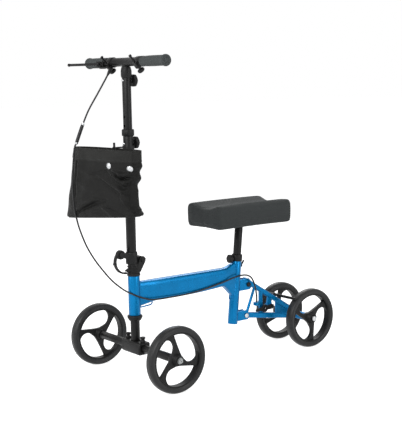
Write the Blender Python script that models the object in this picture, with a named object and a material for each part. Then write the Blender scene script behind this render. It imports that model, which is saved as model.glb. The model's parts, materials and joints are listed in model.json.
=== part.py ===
"""Knee walker with a folding column, two front and two rear wheels, a padded knee rest and a rear brake.

The rider faces -Y, +X is the rider's left and +Z is up. Every size is in metres.
Places are written in the model's own axes, whose Y = 0 is the steering axis and whose Z = 0 is the floor.
The column and all it carries are drawn about the column's own axis, a little ahead of the steering axis.
The root empty then shifts the whole model, so that the middle of its footprint lies on the world origin.
"""

import math

import bmesh
import bpy
from mathutils import Matrix, Vector

# Fits
GAP = 0.0003
SLIDING_FIT = 0.0004
KNOB_CLEARANCE = 0.0006
CUP_CLEARANCE = 0.0006

# Edges and cutters
EDGE = 0.001
SOFT_EDGE = 0.002
BEVEL = 0.0015
CUT_PAST = 0.01
PIN_CUT_HALF = 0.03

# Facets of round pieces
TUBE_FACETS = 16
RING_FACETS = 16
PIN_FACETS = 12
HOLE_FACETS = 8
WHEEL_FACETS = 20
KNOB_LOBES = 6
KNOB_POINTS_PER_LOBE = 3
LINK_END_POINTS = 5
LUG_END_POINTS = 4

# Wheels and axles
WHEEL_RADIUS = 0.095
TYRE_WIDTH = 0.030
TYRE_DEPTH = 0.0165
TREAD_FLAT = 0.012
TYRE_FACETS = 28
RIM_WIDTH = 0.024
RIM_DEPTH = 0.0045
WEB_WIDTH = 0.011
HUB_RADIUS = 0.0165
HUB_LENGTH = 0.035
SPOKES = 3
SPOKE_OFFSET = 0.020
LOBE_RADIUS = 0.0205
LOBE_ANGLE = math.radians(23)
LOBE_SWEEP = math.radians(150)
OPENING_RIM_POINTS = 4
OPENING_LOBE_POINTS = 5
SPINDLE_RADIUS = 0.004
NUT_RADIUS = 0.0085
NUT_LENGTH = 0.007
FRONT_TRACK = 0.402
REAR_TRACK = 0.147
WHEELBASE = 0.625
FRONT_SPOKE_ANGLES = (math.radians(-9), math.radians(56))
REAR_SPOKE_ANGLES = (math.radians(25), math.radians(77))

# Front axle housing
AXLE_TUBE_RADIUS = 0.012
AXLE_TUBE_WALL = 0.002
AXLE_TUBE_SPACING = 0.040
AXLE_PLUG_LENGTH = 0.006
HOUSING_LENGTH = 0.096
HOUSING_DEPTH = 0.040
HOUSING_HEIGHT = 0.036
HOUSING_EDGE = 0.004
LOCK_PIN_SPREAD = 0.076
LOCK_PIN_RADIUS = 0.003
LOCK_KNOB_RADIUS = 0.008
LOCK_KNOB_HEIGHT = 0.016
LOCK_PIN_DEPTH = 0.0095
LOCK_HOLE_FLOOR = 0.004
LOCK_WAIST_SHARE = 0.7
LOCK_WAIST_HEIGHTS = (0.004, 0.006, 0.009, 0.011)

# Steerer and head tube
STEERER_RADIUS = 0.0135
STEERER_WALL = 0.0025
STEERER_SOCKET_DEPTH = 0.0295
STEERER_COVER = 0.008
HEAD_TUBE_RADIUS = 0.0175
HEAD_TUBE_WALL = 0.0025
HEAD_TUBE_BOTTOM = 0.188
HEAD_TUBE_LENGTH = 0.116
LOWER_CUP_HEIGHT = 0.0155
LOWER_CUP_RADIUS = 0.0223
LOWER_CUP_BAND = 0.0065
CUP_NECK = 0.004
UPPER_CUP_HEIGHT = 0.008
UPPER_CUP_RADIUS = 0.0195

# Main beam
BEAM_SETDOWN = 0.019
BEAM_DEPTH = 0.063
BEAM_HALF_WIDTH = 0.0195
BEAM_CORNER_POWER = 4.0
BEAM_STATIONS = 12
BEAM_SECTION_POINTS = 16
BEAM_STATION_POWER = 1.35
BEAM_FRONT_NARROWING = 0.24
BEAM_REAR_NARROWING = 0.34
FRONT_GUSSET_DEPTH = 0.009
FRONT_GUSSET_REACH = 0.070
REAR_ARCH_RISE = 0.009
REAR_GUSSET_DEPTH = 0.048
REAR_GUSSET_REACH = 0.062
TOP_FLARE_RISE = 0.013
TOP_FLARE_REACH = 0.050
GUIDE_ROD_RADIUS = 0.002
GUIDE_ROD_DROP = 0.013
GUIDE_ROD_REACH = 0.062
GUIDE_ROD_BEND = ((0.012, 0.0), (0.003, 0.003), (0.0, 0.008))
GUIDE_ROD_SINK = 0.006

# Seat tube, post and pad
SEAT_TUBE_RADIUS = 0.0155
SEAT_TUBE_RISE = 0.001967
SEAT_TUBE_FOOT = (0.364, 0.104)
SEAT_LEAN = math.radians(5.9)
SEAT_POST_RADIUS = 0.0127
SEAT_POST_WALL = 0.0017
SEAT_POST_INSERTION = 0.135
SEAT_COLLAR_RADIUS = 0.017
SEAT_COLLAR_LENGTH = 0.022
SEAT_HOLE_PITCH = 0.025
SEAT_HOLE_COUNT = 3
SEAT_HOLE_RADIUS = 0.004
SEAT_FIRST_HOLE = 0.040
POST_TRIM_SIZE = 0.1
SEAT_PIN_RADIUS = 0.003
SEAT_PIN_DROP = 0.014
SEAT_PIN_COLLAR = 0.005
SEAT_PIN_BLADE = (0.007, 0.003, 0.020, 0.0008)
SEAT_PIN_BLADE_ANGLE = math.radians(38)
SEAT_PIN_BLADE_MIDDLE = 0.009
SEAT_KNOB_RADIUS = 0.014
SEAT_KNOB_THICKNESS = 0.010
SEAT_BOSS_RADIUS = 0.0062
SEAT_BOSS_HEIGHT = 0.005
SEAT_KNOB_SETTLE = 0.0040
PAD_RISE = 0.11684
PAD_PLATE_THICKNESS = 0.003
PAD_PLATE_SIZE = (0.090, 0.130)
PAD_WIDTH = 0.172
PAD_LENGTH = 0.286
PAD_EDGE_HEIGHT = 0.072
PAD_TROUGH_DEPTH = 0.014
PAD_SIDE_DRAW = 0.005
PAD_CORNER_RADIUS = 0.016
PAD_SHIFT = 0.003
PAD_FOOT_RADIUS = 0.006
PAD_TROUGH_STEPS = 8
PAD_TROUGH_POWER = 1.3
PAD_WAIST_SHARE = 0.45
PAD_END_REACH = 0.020
PAD_END_DRAW = 0.085
PAD_END_POWER = 2.2

# Rear frame
REAR_TUBE_SIZE = 0.015
REAR_TUBE_EDGE = 0.0025
LOWER_TUBE_HEIGHT = 0.017
REAR_TUBE_FRONT_REACH = 0.013
BRACKET_PLATE = 0.003
BRACKET_BOLT_RADIUS = 0.004
BRACKET_BOLT_HEAD = 0.0075
BRACKET_BOLT_HEAD_LENGTH = 0.0045
BRACKET_SHARE_BELOW = 0.45
BRACKET_BEHIND_BOLT = 0.012
BRACKET_LOW_CORNER = 0.006
BRACKET_HIGH_CORNER = 0.010
UPPER_BRACKET_DROP = 0.063
UPPER_BRACKET_HEIGHT = 0.036
LOWER_BRACKET_HEIGHT = 0.030
UPPER_TUBE_OVER_BOLT = 0.010
BOLT_LUG_RADIUS = 0.009
UPPER_BRACKET_REACH = 0.0453
LOWER_BRACKET_RISE = 0.0205
LOWER_BRACKET_REACH = 0.0452
UPPER_TUBE_OVER_AXLE = 0.0095
LOWER_TUBE_OVER_AXLE = -0.0045
UPRIGHT_SIZE = 0.012
UPRIGHT_SHARE = 0.3224
DIAGONAL_SIZE = 0.0085
DIAGONAL_TOP_FORWARD = 0.024
DIAGONAL_FOOT_BACK = 0.021
AXLE_SLEEVE_RADIUS = 0.0125
GUSSET_THICKNESS = 0.006
GUSSET_FRONT = 0.082
GUSSET_REAR = 0.018

# Rear brake
CRANK_SETBACK = 0.035
CRANK_DROP = 0.0336
CRANK_SIDE = 0.0155
CRANK_SLEEVE_RADIUS = 0.0075
CRANK_LUG_RADIUS = 0.009
CRANK_HUB_RADIUS = 0.008
CRANK_TIP_RADIUS = 0.0065
CRANK_HOOK_RADIUS = 0.0045
CRANK_HOOK_DROP = 0.016
CRANK_EYE_RADIUS = 0.0125
CRANK_EYE_HOLE = 0.0048
CRANK_EYE_SHARE = 0.48
CRANK_PIN_RADIUS = 0.004
CRANK_ARM_THICKNESS = 0.004
CRANK_PIN_PROUD = 0.002
BRAKE_BAR_RADIUS = 0.0045
BRAKE_BAR_CLEARANCE = 0.0038
BRAKE_BAR_OVER_TUBE = 0.0032
BRAKE_BAR_SHORT = 0.003
CABLE_STOP_SIDE = 0.0155
CABLE_STOP_FORWARD = 0.029
CABLE_STOP_RISE = 0.021
CABLE_STOP_HEIGHT = 0.010
CABLE_STOP_RADIUS = 0.0050
CABLE_STOP_ROOT = 0.009
CABLE_STOP_CORNER = 0.003
WIRE_PLAY = 0.0007
WIRE_RADIUS = 0.0012

# Fold joint
BASE_HEIGHT = 0.027
BASE_RADIUS = 0.0165
BASE_RIDGE = 0.0018
BASE_RIDGE_COUNT = 3
BASE_RIDGE_PITCH = 0.0085
BASE_RIDGE_LENGTH = 0.0032
BASE_GROOVE_HEIGHTS = (0.0040, 0.0068)
COLUMN_FORWARD = 0.0055
FOLD_PIVOT_BACK = 0.028
FOLD_PIVOT_RISE = 0.0105
LUG_RADIUS = 0.0105
LUG_THICKNESS = 0.006
LUG_PLAY = 0.0005
LUG_FOOT_RADIUS = 0.008
FOLD_PIN_HEAD = 0.0075
FOLD_PIN_HEAD_LENGTH = 0.0035
YOKE_HALF_LUG = 0.010
FOLD_PIN_RADIUS = 0.004
YOKE_RADIUS = 0.0172
YOKE_HEIGHT = 0.034
YOKE_FLOOR = 0.012
CAM_PIVOT_FORWARD = 0.0385
CAM_PIVOT_RISE = 0.0298
CAM_HUB_RADIUS = 0.0135
CAM_HALF_WIDTH = 0.0055
CAM_PIN_RADIUS = 0.0035
CAM_PLAY = 0.0004
CAM_CHEEK_THICKNESS = 0.0038
CAM_BLADE_FORWARD = 0.0226
CAM_BLADE_RISE = 0.0088
CAM_BLADE_RADIUS = 0.0345
CAM_BLADE_THICKNESS = 0.005
CAM_BLADE_POINTS = 12
CAM_BLADE_START = math.radians(125)
CAM_BLADE_END = math.radians(275)
CAM_NUB_ANGLE = math.radians(187)
CAM_NUB_RADIUS = 0.0040
CAM_NUB_SINK = 0.3
CATCH_RADIUS = 0.003
CATCH_SETBACK = 0.0046
CATCH_FOOT_RADIUS = 0.006

# Column
LOWER_TUBE_RADIUS = 0.0145
LOWER_TUBE_LENGTH = 0.3545
UPPER_TUBE_RADIUS = 0.0127
UPPER_TUBE_LENGTH = 0.320
COLUMN_OVERLAP = 0.142
STEM_RADIUS = 0.0110
STEM_WALL = 0.0020
STEM_LENGTH = 0.105
STEM_SINK = 0.004
STEM_CROWN = 0.004
COLLAR_RADIUS = 0.0178
COLLAR_HEIGHT = 0.0197
TOP_COLLAR_RADIUS = 0.0155
TOP_COLLAR_FLARE = 0.005
TOP_COLLAR_SHOULDER = ((0.0, 0.012), (0.0018, 0.004), (0.003, 0.0))
COLUMN_KNOB_RADIUS = 0.0185
COLUMN_KNOB_THICKNESS = 0.010
LOWER_KNOB_DROP = 0.019
UPPER_KNOB_DROP = 0.022
CLAMP_BOSS_RADIUS = 0.0065
CLAMP_BOSS_HEIGHT = 0.004
CLAMP_SCREW_RADIUS = 0.0035
SNAP_BUTTON_RADIUS = 0.0038
SNAP_BUTTON_PROUD = 0.0035
SNAP_BUTTON_CROWN = 0.0006
SNAP_BUTTON_DROP = 0.021
ADJUSTING_PITCH = 0.025
HOLES_BELOW_COUNT = 3
HOLES_ABOVE_COUNT = 2
STEM_HOLES_ABOVE_COUNT = 2
ADJUSTING_HOLE_RADIUS = 0.0048

# Handlebar
BAR_RISE = 0.030
BAR_RADIUS = 0.011
BAR_WALL = 0.002
BAR_LENGTH = 0.389
SOCKET_RADIUS = 0.0125
SOCKET_LENGTH = 0.124
BAR_CLAMP_RADIUS = 0.0150
BAR_CLAMP_LENGTH = 0.021
CLAMP_EAR_WIDTH = 0.012
CLAMP_EAR_HEIGHT = 0.022
BAR_CLAMP_BOLT_RADIUS = 0.003
BAR_CLAMP_BOLT_OFFSET = 0.0149
BAR_CLAMP_TILT = math.radians(48)
BAR_KNOB_RADIUS = 0.0105
BAR_KNOB_THICKNESS = 0.008
BAR_BOLT_REACH = 0.036
BAR_BOLT_HEAD_RADIUS = 0.0045
BAR_BOLT_HEAD_LENGTH = 0.0045
GRIP_RADIUS = 0.0147
GRIP_FLANGE_RADIUS = 0.0163
GRIP_FLANGE_LENGTH = 0.008
GRIP_END_THICKNESS = 0.003
LEFT_GRIP_LENGTH = 0.1133
RIGHT_GRIP_LENGTH = 0.0933

# Brake lever
PERCH_LENGTH = 0.014
PERCH_RADIUS = 0.0145
PERCH_ROOT_BACK = 0.0165
PERCH_BLOCK_DEPTH = 0.013
PERCH_BLOCK_OVER_CHEEK = 0.0036
PERCH_BLOCK_UNDER_ARM = 0.0008
PERCH_CHEEK_RADII = (0.0066, 0.0061)
PERCH_CHEEK_THICKNESS = 0.003
LEVER_PIVOT_FORWARD = 0.034
LEVER_PIVOT_DROP = 0.004
LEVER_LENGTH = 0.1075
LEVER_ANGLE = math.radians(19.5)
LEVER_HEIGHT = 0.0078
LEVER_THICKNESS = 0.005
LEVER_BALL_RADIUS = 0.0050
LEVER_HUB_RADIUS = 0.0062
LEVER_ROOT_RADIUS = 0.0050
LEVER_STEP = 0.0004
LEVER_PIN_RADIUS = 0.0025
OUTLET_RADIUS = 0.0050
OUTLET_LENGTH = 0.011
OUTLET_BACK = 0.004
OUTLET_ARM_THICKNESS = 0.0046
OUTLET_ARM_INSET = 0.0045
OUTLET_ARM_FRONT = -0.0280
OUTLET_ARM_REAR = -0.0192
OUTLET_ARM_TIP = ((-0.0035, 0.0045), (0.0035, 0.0045), (0.0055, -0.0010))

# Bag and its bracket
BAG_WALL = 0.002
BAG_DROP = 0.033
BAG_DEPTH = 0.1925
BAG_TOP_TILT = -0.016
BAG_BOTTOM_TILT = 0.073
BAG_TOP_MIDDLE = (-0.0065, -0.069)
BAG_BOTTOM_MIDDLE = (-0.015, -0.080)
BAG_TOP_HALF = (0.1315, 0.028)
BAG_BOTTOM_HALF = (0.140, 0.031)
BAG_SKEW = (0.21, 0.156)
BAG_CORNER_POWER = (2.8, 2.3)
BAG_LEVELS = (0.0, 0.04, 0.16, 0.30, 0.44, 0.58, 0.72, 0.86, 1.0)
BAG_NEAR_TUCK = (0.010, 0.000, 0.009, 0.016, 0.018, 0.008, 0.002, 0.003, 0.0)
BAG_BASE_SHRINK = 0.005
BAG_RING_POINTS = 20
BRACKET_BAND_RADIUS = 0.0172
BRACKET_BAND_HEIGHT = 0.023
BRACKET_ARM_LENGTH = 0.050
BRACKET_ARM_WIDTH = 0.012
BRACKET_ARM_THICKNESS = 0.004
BRACKET_HOOK_RISE = 0.016
BRACKET_DROP = 0.0015

# Brake cable, along a route chosen by hand: each stretch is given from the piece that holds it
CABLE_RADIUS = 0.0025
SLEEVE_RADIUS = 0.0042
CABLE_POINT_SPACING = 0.0150
CABLE_BELOW_BAR = (
    (-0.0560, -0.0263, -0.0267),
    (-0.0620, -0.0392, -0.0518),
    (-0.0710, -0.0566, -0.0853),
    (-0.0850, -0.0805, -0.1322),
)
CABLE_BY_BAG = (
    (-0.0980, -0.0938, 0.0682),
    (-0.1030, -0.1036, 0.0400),
    (-0.1060, -0.1124, 0.0155),
    (-0.1080, -0.1173, 0.0040),
    (-0.1090, -0.1220, -0.0272),
    (-0.1080, -0.1261, -0.0564),
    (-0.1060, -0.1296, -0.0874),
    (-0.1010, -0.1332, -0.1273),
    (-0.0940, -0.1337, -0.1748),
    (-0.0900, -0.1300, -0.2014),
)
CABLE_BY_HINGE = (
    (-0.0850, -0.1238, 0.1010),
    (-0.0750, -0.1096, 0.0538),
    (-0.0620, -0.0910, 0.0123),
    (-0.0460, -0.0692, -0.0252),
    (-0.0320, -0.0528, -0.0501),
    (-0.0140, -0.0340, -0.0715),
)
CABLE_BY_BEAM = (
    (0.0010, -0.0235, -0.0261),
    (0.0210, -0.0095, -0.0353),
    (0.0285, 0.0143, -0.0455),
    (0.0285, 0.0460, -0.0542),
    (0.0245, 0.1100, -0.0570),
    (0.0235, 0.2000, -0.0550),
    (0.0245, 0.2930, -0.0420),
    (0.0255, 0.3520, -0.0300),
    (0.0255, 0.3920, -0.0270),
)
CABLE_TO_STOP = (
    (0.0090, -0.0310, 0.0870),
    (0.0070, -0.0140, 0.0610),
    (0.0035, -0.0040, 0.0290),
    (0.0000, 0.0000, 0.0120),
    (0.0000, 0.0000, 0.0000),
)
CABLE_POINT_COUNT = 34
CABLE_PIECES = (
    ("brake_cable_upper", "bars", 0, 4, CABLE_RADIUS),
    ("cable_sleeve", "mast", 4, 6, SLEEVE_RADIUS),
    ("brake_cable_column", "column", 6, 14, CABLE_RADIUS),
    ("brake_cable_steering", "steering", 14, 19, CABLE_RADIUS),
    ("brake_cable_frame", "frame", 19, CABLE_POINT_COUNT - 1, CABLE_RADIUS),
)
CABLE_STEPS = 24
CABLE_END_RUN = 0.003

# Values worked out from the ones above
RIM_RADIUS = WHEEL_RADIUS - TYRE_DEPTH - GAP
OPENING_RADIUS = RIM_RADIUS - RIM_DEPTH
HUB_BORE = SPINDLE_RADIUS + GAP
STEERER_BORE = STEERER_RADIUS + GAP
CUP_BORE = STEERER_RADIUS + CUP_CLEARANCE
HEAD_TUBE_TOP = HEAD_TUBE_BOTTOM + HEAD_TUBE_LENGTH
BEAM_TOP = HEAD_TUBE_TOP - BEAM_SETDOWN
BASE_BOTTOM = HEAD_TUBE_TOP + UPPER_CUP_HEIGHT + 2 * GAP
BASE_TOP = BASE_BOTTOM + BASE_HEIGHT
FOLD_PIVOT = (FOLD_PIVOT_BACK, BASE_TOP + FOLD_PIVOT_RISE)
BASE_PIVOT = (FOLD_PIVOT_BACK - COLUMN_FORWARD, FOLD_PIVOT[1])
YOKE_BOTTOM = BASE_TOP + 2 * GAP
YOKE_BORE = LOWER_TUBE_RADIUS + GAP
CAM_PIVOT = (-CAM_PIVOT_FORWARD, YOKE_BOTTOM + CAM_PIVOT_RISE)
BASE_LUG_FOOT = (0.008, BASE_TOP - 0.0185)
CATCH_FOOT = (-0.012, BASE_BOTTOM + 0.010)
YOKE_LUG_FOOT = (0.010, YOKE_BOTTOM + 0.0125)
CAM_CHEEK_FOOT = (-0.0125, CAM_PIVOT[1] - 0.007)
CAM_BLADE_CENTRE = (-CAM_BLADE_FORWARD, YOKE_BOTTOM + CAM_BLADE_RISE)
LOWER_TUBE_INNER = UPPER_TUBE_RADIUS + SLIDING_FIT
LOWER_TUBE_BOTTOM = YOKE_BOTTOM + YOKE_FLOOR + GAP
LOWER_TUBE_TOP = LOWER_TUBE_BOTTOM + LOWER_TUBE_LENGTH
UPPER_TUBE_BOTTOM = LOWER_TUBE_TOP - COLUMN_OVERLAP
UPPER_TUBE_TOP = UPPER_TUBE_BOTTOM + UPPER_TUBE_LENGTH
BAR_HEIGHT = UPPER_TUBE_TOP + BAR_RISE
BAG_TOP = LOWER_TUBE_TOP - BAG_DROP
BAG_BOTTOM = BAG_TOP - BAG_DEPTH
LOWER_KNOB_Z = LOWER_TUBE_TOP - LOWER_KNOB_DROP
LOWER_BUTTON_Z = LOWER_TUBE_TOP - SNAP_BUTTON_DROP
UPPER_TUBE_INNER = STEM_RADIUS + SLIDING_FIT
UPPER_KNOB_Z = UPPER_TUBE_TOP - UPPER_KNOB_DROP
UPPER_BUTTON_Z = UPPER_TUBE_TOP - SNAP_BUTTON_DROP
SOCKET_UNDERSIDE = BAR_HEIGHT - SOCKET_RADIUS
BAR_BORE = BAR_RADIUS + GAP
BAR_CLAMP_X = SOCKET_LENGTH / 2 + BAR_CLAMP_LENGTH / 2
SEAT_TUBE_INNER = SEAT_POST_RADIUS + SLIDING_FIT
SEAT_AXIS = Vector((0.0, math.sin(SEAT_LEAN), math.cos(SEAT_LEAN)))
SEAT_BASE = Vector((0.0, SEAT_TUBE_FOOT[0], SEAT_TUBE_FOOT[1]))
BEAM_REAR_TOP = BEAM_TOP + TOP_FLARE_RISE
SEAT_TUBE_LENGTH = (BEAM_REAR_TOP - SEAT_TUBE_FOOT[1]) / math.cos(SEAT_LEAN) + SEAT_TUBE_RISE
PAD_BOTTOM = SEAT_TUBE_FOOT[1] + SEAT_TUBE_LENGTH * math.cos(SEAT_LEAN) + PAD_RISE
SEAT_KNOB_S = SEAT_TUBE_LENGTH + GAP + SEAT_COLLAR_LENGTH / 2 - SEAT_KNOB_SETTLE
BRACKET_INNER = REAR_TUBE_SIZE / 2 + GAP
BRACKET_ROOT = math.sqrt(SEAT_TUBE_INNER ** 2 - BRACKET_INNER ** 2) + 2 * GAP
REAR_AXLE = Vector((0.0, WHEELBASE, WHEEL_RADIUS))
COLUMN_OFFSET = Vector((0.0, -COLUMN_FORWARD, 0.0))
LEVER_X = -(BAR_CLAMP_X + BAR_CLAMP_LENGTH / 2 + 0.0035 + PERCH_LENGTH / 2)
LEVER_PIVOT = Vector((LEVER_X, -LEVER_PIVOT_FORWARD, BAR_HEIGHT - LEVER_PIVOT_DROP))
CLAMP_DIRECTION = Vector((0.0, math.cos(BAR_CLAMP_TILT), -math.sin(BAR_CLAMP_TILT)))
CLAMP_NORMAL = Vector((0.0, -math.sin(BAR_CLAMP_TILT), -math.cos(BAR_CLAMP_TILT)))


def behind_seat_tube(z, reach):
    """A place in Y and Z at a height, so far behind the seat tube's axis."""
    return (SEAT_TUBE_FOOT[0] + math.tan(SEAT_LEAN) * (z - SEAT_TUBE_FOOT[1]) + reach, z)


def from_height(points, height):
    return [(x, y, z + height) for x, y, z in points]


UPPER_BRACKET_BOLT = behind_seat_tube(BEAM_TOP - UPPER_BRACKET_DROP, UPPER_BRACKET_REACH)
LOWER_BRACKET_BOLT = behind_seat_tube(SEAT_TUBE_FOOT[1] + LOWER_BRACKET_RISE, LOWER_BRACKET_REACH)
UPPER_TUBE_FRONT = (UPPER_BRACKET_BOLT[0], UPPER_BRACKET_BOLT[1] + UPPER_TUBE_OVER_BOLT)
UPPER_TUBE_FALL = UPPER_TUBE_FRONT[1] - WHEEL_RADIUS - UPPER_TUBE_OVER_AXLE
LOWER_TUBE_FALL = LOWER_BRACKET_BOLT[1] - WHEEL_RADIUS - LOWER_TUBE_OVER_AXLE
UPPER_TUBE_SLOPE = math.atan2(UPPER_TUBE_FALL, WHEELBASE - UPPER_TUBE_FRONT[0])
LOWER_TUBE_SLOPE = math.atan2(LOWER_TUBE_FALL, WHEELBASE - LOWER_BRACKET_BOLT[0])
UPRIGHT_Y = LOWER_BRACKET_BOLT[0] + UPRIGHT_SHARE * (WHEELBASE - LOWER_BRACKET_BOLT[0])
CRANK_Y = UPRIGHT_Y + CRANK_SETBACK
CRANK_Z = UPPER_TUBE_FRONT[1] - math.tan(UPPER_TUBE_SLOPE) * (CRANK_Y - UPPER_TUBE_FRONT[0]) - CRANK_DROP
CRANK_PIVOT = (CRANK_Y, CRANK_Z)
CABLE_STOP = Vector((CABLE_STOP_SIDE, UPRIGHT_Y - CABLE_STOP_FORWARD, CRANK_Z + CABLE_STOP_RISE))
CABLE_ROUTE = from_height(CABLE_BELOW_BAR, BAR_HEIGHT) + from_height(CABLE_BY_BAG, BAG_TOP)
CABLE_ROUTE += from_height(CABLE_BY_HINGE, YOKE_BOTTOM) + from_height(CABLE_BY_BEAM, BEAM_TOP)
CABLE_ROUTE += [tuple(CABLE_STOP + Vector(step)) for step in CABLE_TO_STOP]


# Scene helpers

def clear_scene():
    for item in list(bpy.data.objects):
        bpy.data.objects.remove(item, do_unlink=True)


def make_material(name, colour, roughness, metallic=0.0):
    finish = bpy.data.materials.new(name)
    finish.use_nodes = True
    shader = finish.node_tree.nodes["Principled BSDF"]
    shader.inputs["Base Color"].default_value = (*colour, 1.0)
    shader.inputs["Roughness"].default_value = roughness
    shader.inputs["Metallic"].default_value = metallic
    finish.diffuse_color = (*colour, 1.0)
    return finish


class Model:
    """Holds the bodies' empties and places each piece under its own body."""

    def __init__(self, origin_shift):
        self.empties = {}
        self.places = {}
        self.offsets = {}
        self.root = bpy.data.objects.new("knee_walker", None)
        self.root.location = origin_shift
        bpy.context.scene.collection.objects.link(self.root)

    def body(self, name, place, parent=None, offset=None):
        """An empty on the body's joint. The offset moves what is drawn for it and for all that it carries."""
        carried = self.offsets.get(parent, Vector())
        self.offsets[name] = carried if offset is None else Vector(offset)
        self.places[name] = Vector(place)
        empty = bpy.data.objects.new("body_" + name, None)
        empty.parent = self.empties.get(parent, self.root)
        empty.location = self.places[name] + self.offsets[name] - self.places.get(parent, Vector()) - carried
        bpy.context.scene.collection.objects.link(empty)
        self.empties[name] = empty

    def link(self, item, body, frame):
        item.parent = self.empties[body]
        item.matrix_basis = Matrix.Translation(-self.places[body]) @ frame
        bpy.context.scene.collection.objects.link(item)
        return item

    def piece(self, name, shape, body, finish, frame=Matrix()):
        item = bpy.data.objects.new(name, as_mesh(shape, name))
        item.data.materials.append(finish)
        return self.link(item, body, frame)

    def helper(self, owner, shape, frame, operation):
        """A hidden solid that a Boolean modifier adds to, or takes from, its owner."""
        number = len(owner.modifiers) + 1
        name = f"{owner.name}_{operation.lower()}_{number}"
        item = bpy.data.objects.new(name, as_mesh(shape, name))
        item.hide_render = True
        item.display_type = "WIRE"
        item.parent = owner.parent
        item.matrix_basis = Matrix.Translation(-self.origin_of(owner.parent)) @ frame
        bpy.context.scene.collection.objects.link(item)
        change = owner.modifiers.new(name, "BOOLEAN")
        change.operation = operation
        change.object = item
        return item

    def origin_of(self, empty):
        return self.places[empty.name[len("body_"):]]

    def add(self, owner, shape, frame=Matrix()):
        return self.helper(owner, shape, frame, "UNION")

    def cut(self, owner, shape, frame=Matrix()):
        return self.helper(owner, shape, frame, "DIFFERENCE")


def as_mesh(shape, name):
    if isinstance(shape, bpy.types.Mesh):
        return shape
    mesh = bpy.data.meshes.new(name)
    shape.to_mesh(mesh)
    shape.free()
    mesh.shade_smooth()
    mesh.set_sharp_from_angle(angle=math.radians(35))
    return mesh


def along(start, direction):
    """A frame at start whose Z runs along direction and whose X is level where it can be."""
    axis = Vector(direction).normalized()
    side = Vector((1.0, 0.0, 0.0)) if abs(axis.x) < 0.9 else Vector((0.0, 0.0, -1.0))
    side = (side - side.dot(axis) * axis).normalized()
    turn = Matrix((side, axis.cross(side), axis)).transposed()
    return Matrix.Translation(start) @ turn.to_4x4()


def at(x, y, z):
    return Matrix.Translation((x, y, z))


def on_side(x=0.0):
    """A frame whose drawing plane is the model's Y and Z, with its depth along X."""
    turn = Matrix(((0, 0, 1), (1, 0, 0), (0, 1, 0)))
    return Matrix.Translation((x, 0.0, 0.0)) @ turn.to_4x4()


# Shape helpers

def turned(profile, segments=RING_FACETS, ring=False):
    """Revolves (radius, height) points about Z, a facet's middle at +X. A ring's profile closes on itself."""
    shape = bmesh.new()
    rings = []
    for radius, height in profile:
        if radius < 1e-6:
            rings.append([shape.verts.new((0.0, 0.0, height))])
            continue
        angles = [2 * math.pi * (step + 0.5) / segments for step in range(segments)]
        rings.append([shape.verts.new((radius * math.cos(a), radius * math.sin(a), height)) for a in angles])
    pairs = list(zip(rings, rings[1:] + rings[:1])) if ring else list(zip(rings, rings[1:]))
    for low, high in pairs:
        bridge(shape, low, high)
    bmesh.ops.recalc_face_normals(shape, faces=shape.faces)
    return shape


def bridge(shape, low, high):
    count = max(len(low), len(high))
    for step in range(count):
        after = (step + 1) % count
        corners = [
            low[step % len(low)], low[after % len(low)],
            high[after % len(high)], high[step % len(high)],
        ]
        unique = list(dict.fromkeys(corners))
        if len(unique) > 2:
            shape.faces.new(unique)


def pipe(outer, inner, low, high, segments=TUBE_FACETS):
    return turned([(outer, low), (outer, high), (inner, high), (inner, low)], segments, True)


def rod(radius, low, high, segments=PIN_FACETS):
    return turned([(0.0, low), (radius, low), (radius, high), (0.0, high)], segments)


def block(width, depth, height, edge=0.0):
    shape = bmesh.new()
    bmesh.ops.create_cube(shape, size=1.0)
    bmesh.ops.scale(shape, verts=shape.verts, vec=(width, depth, height))
    if edge:
        bmesh.ops.bevel(shape, geom=shape.edges[:], offset=edge, segments=1, affect="EDGES", profile=0.5)
    return shape


def prism(outline, thickness):
    """Extrudes a flat outline by thickness, half to each side of its plane."""
    shape = bmesh.new()
    low = [shape.verts.new((x, y, -thickness / 2)) for x, y in outline]
    high = [shape.verts.new((x, y, thickness / 2)) for x, y in outline]
    shape.faces.new(low[::-1])
    shape.faces.new(high)
    bridge(shape, low, high)
    bmesh.ops.recalc_face_normals(shape, faces=shape.faces)
    return shape


def arc(centre, radius, start, end, points):
    steps = [start + (end - start) * step / (points - 1) for step in range(points)]
    return [(centre[0] + radius * math.cos(a), centre[1] + radius * math.sin(a)) for a in steps]


def link_outline(first, first_radius, second, second_radius, points=LINK_END_POINTS):
    """The outline of a plate with two round ends, drawn in its own plane."""
    run = Vector(second) - Vector(first)
    heading = math.atan2(run.y, run.x)
    spread = math.acos((first_radius - second_radius) / run.length)
    outline = arc(second, second_radius, heading - spread, heading + spread, points)
    return outline + arc(first, first_radius, heading + spread, heading + 2 * math.pi - spread, points)


def lobed_disc(radius, thickness, lobes=KNOB_LOBES, depth=0.10):
    """A hand knob's scalloped disc."""
    count = lobes * KNOB_POINTS_PER_LOBE
    outline = []
    for step in range(count):
        angle = 2 * math.pi * step / count
        reach = radius * (1 - depth * (0.5 - 0.5 * math.cos(lobes * angle)) ** 2)
        outline.append((reach * math.cos(angle), reach * math.sin(angle)))
    shape = prism(outline, thickness)
    rims = [edge for edge in shape.edges if abs(edge.verts[0].co.z - edge.verts[1].co.z) < 1e-7]
    bmesh.ops.bevel(shape, geom=rims, offset=thickness * 0.18, segments=1, affect="EDGES", profile=0.5)
    return shape


def smooth_route(points, steps):
    """A Catmull-Rom curve through the points, with so many steps from each one to the next."""
    route = [Vector(point) for point in points]
    padded = [2 * route[0] - route[1]] + route + [2 * route[-1] - route[-2]]
    dense = []
    for index in range(len(route) - 1):
        a, b, c, d = padded[index:index + 4]
        for step in range(steps):
            t = step / steps
            part = 2 * b + (c - a) * t + (2 * a - 5 * b + 4 * c - d) * t * t
            dense.append((part + (3 * b - a - 3 * c + d) * t ** 3) / 2)
    return dense + [route[-1]]


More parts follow.
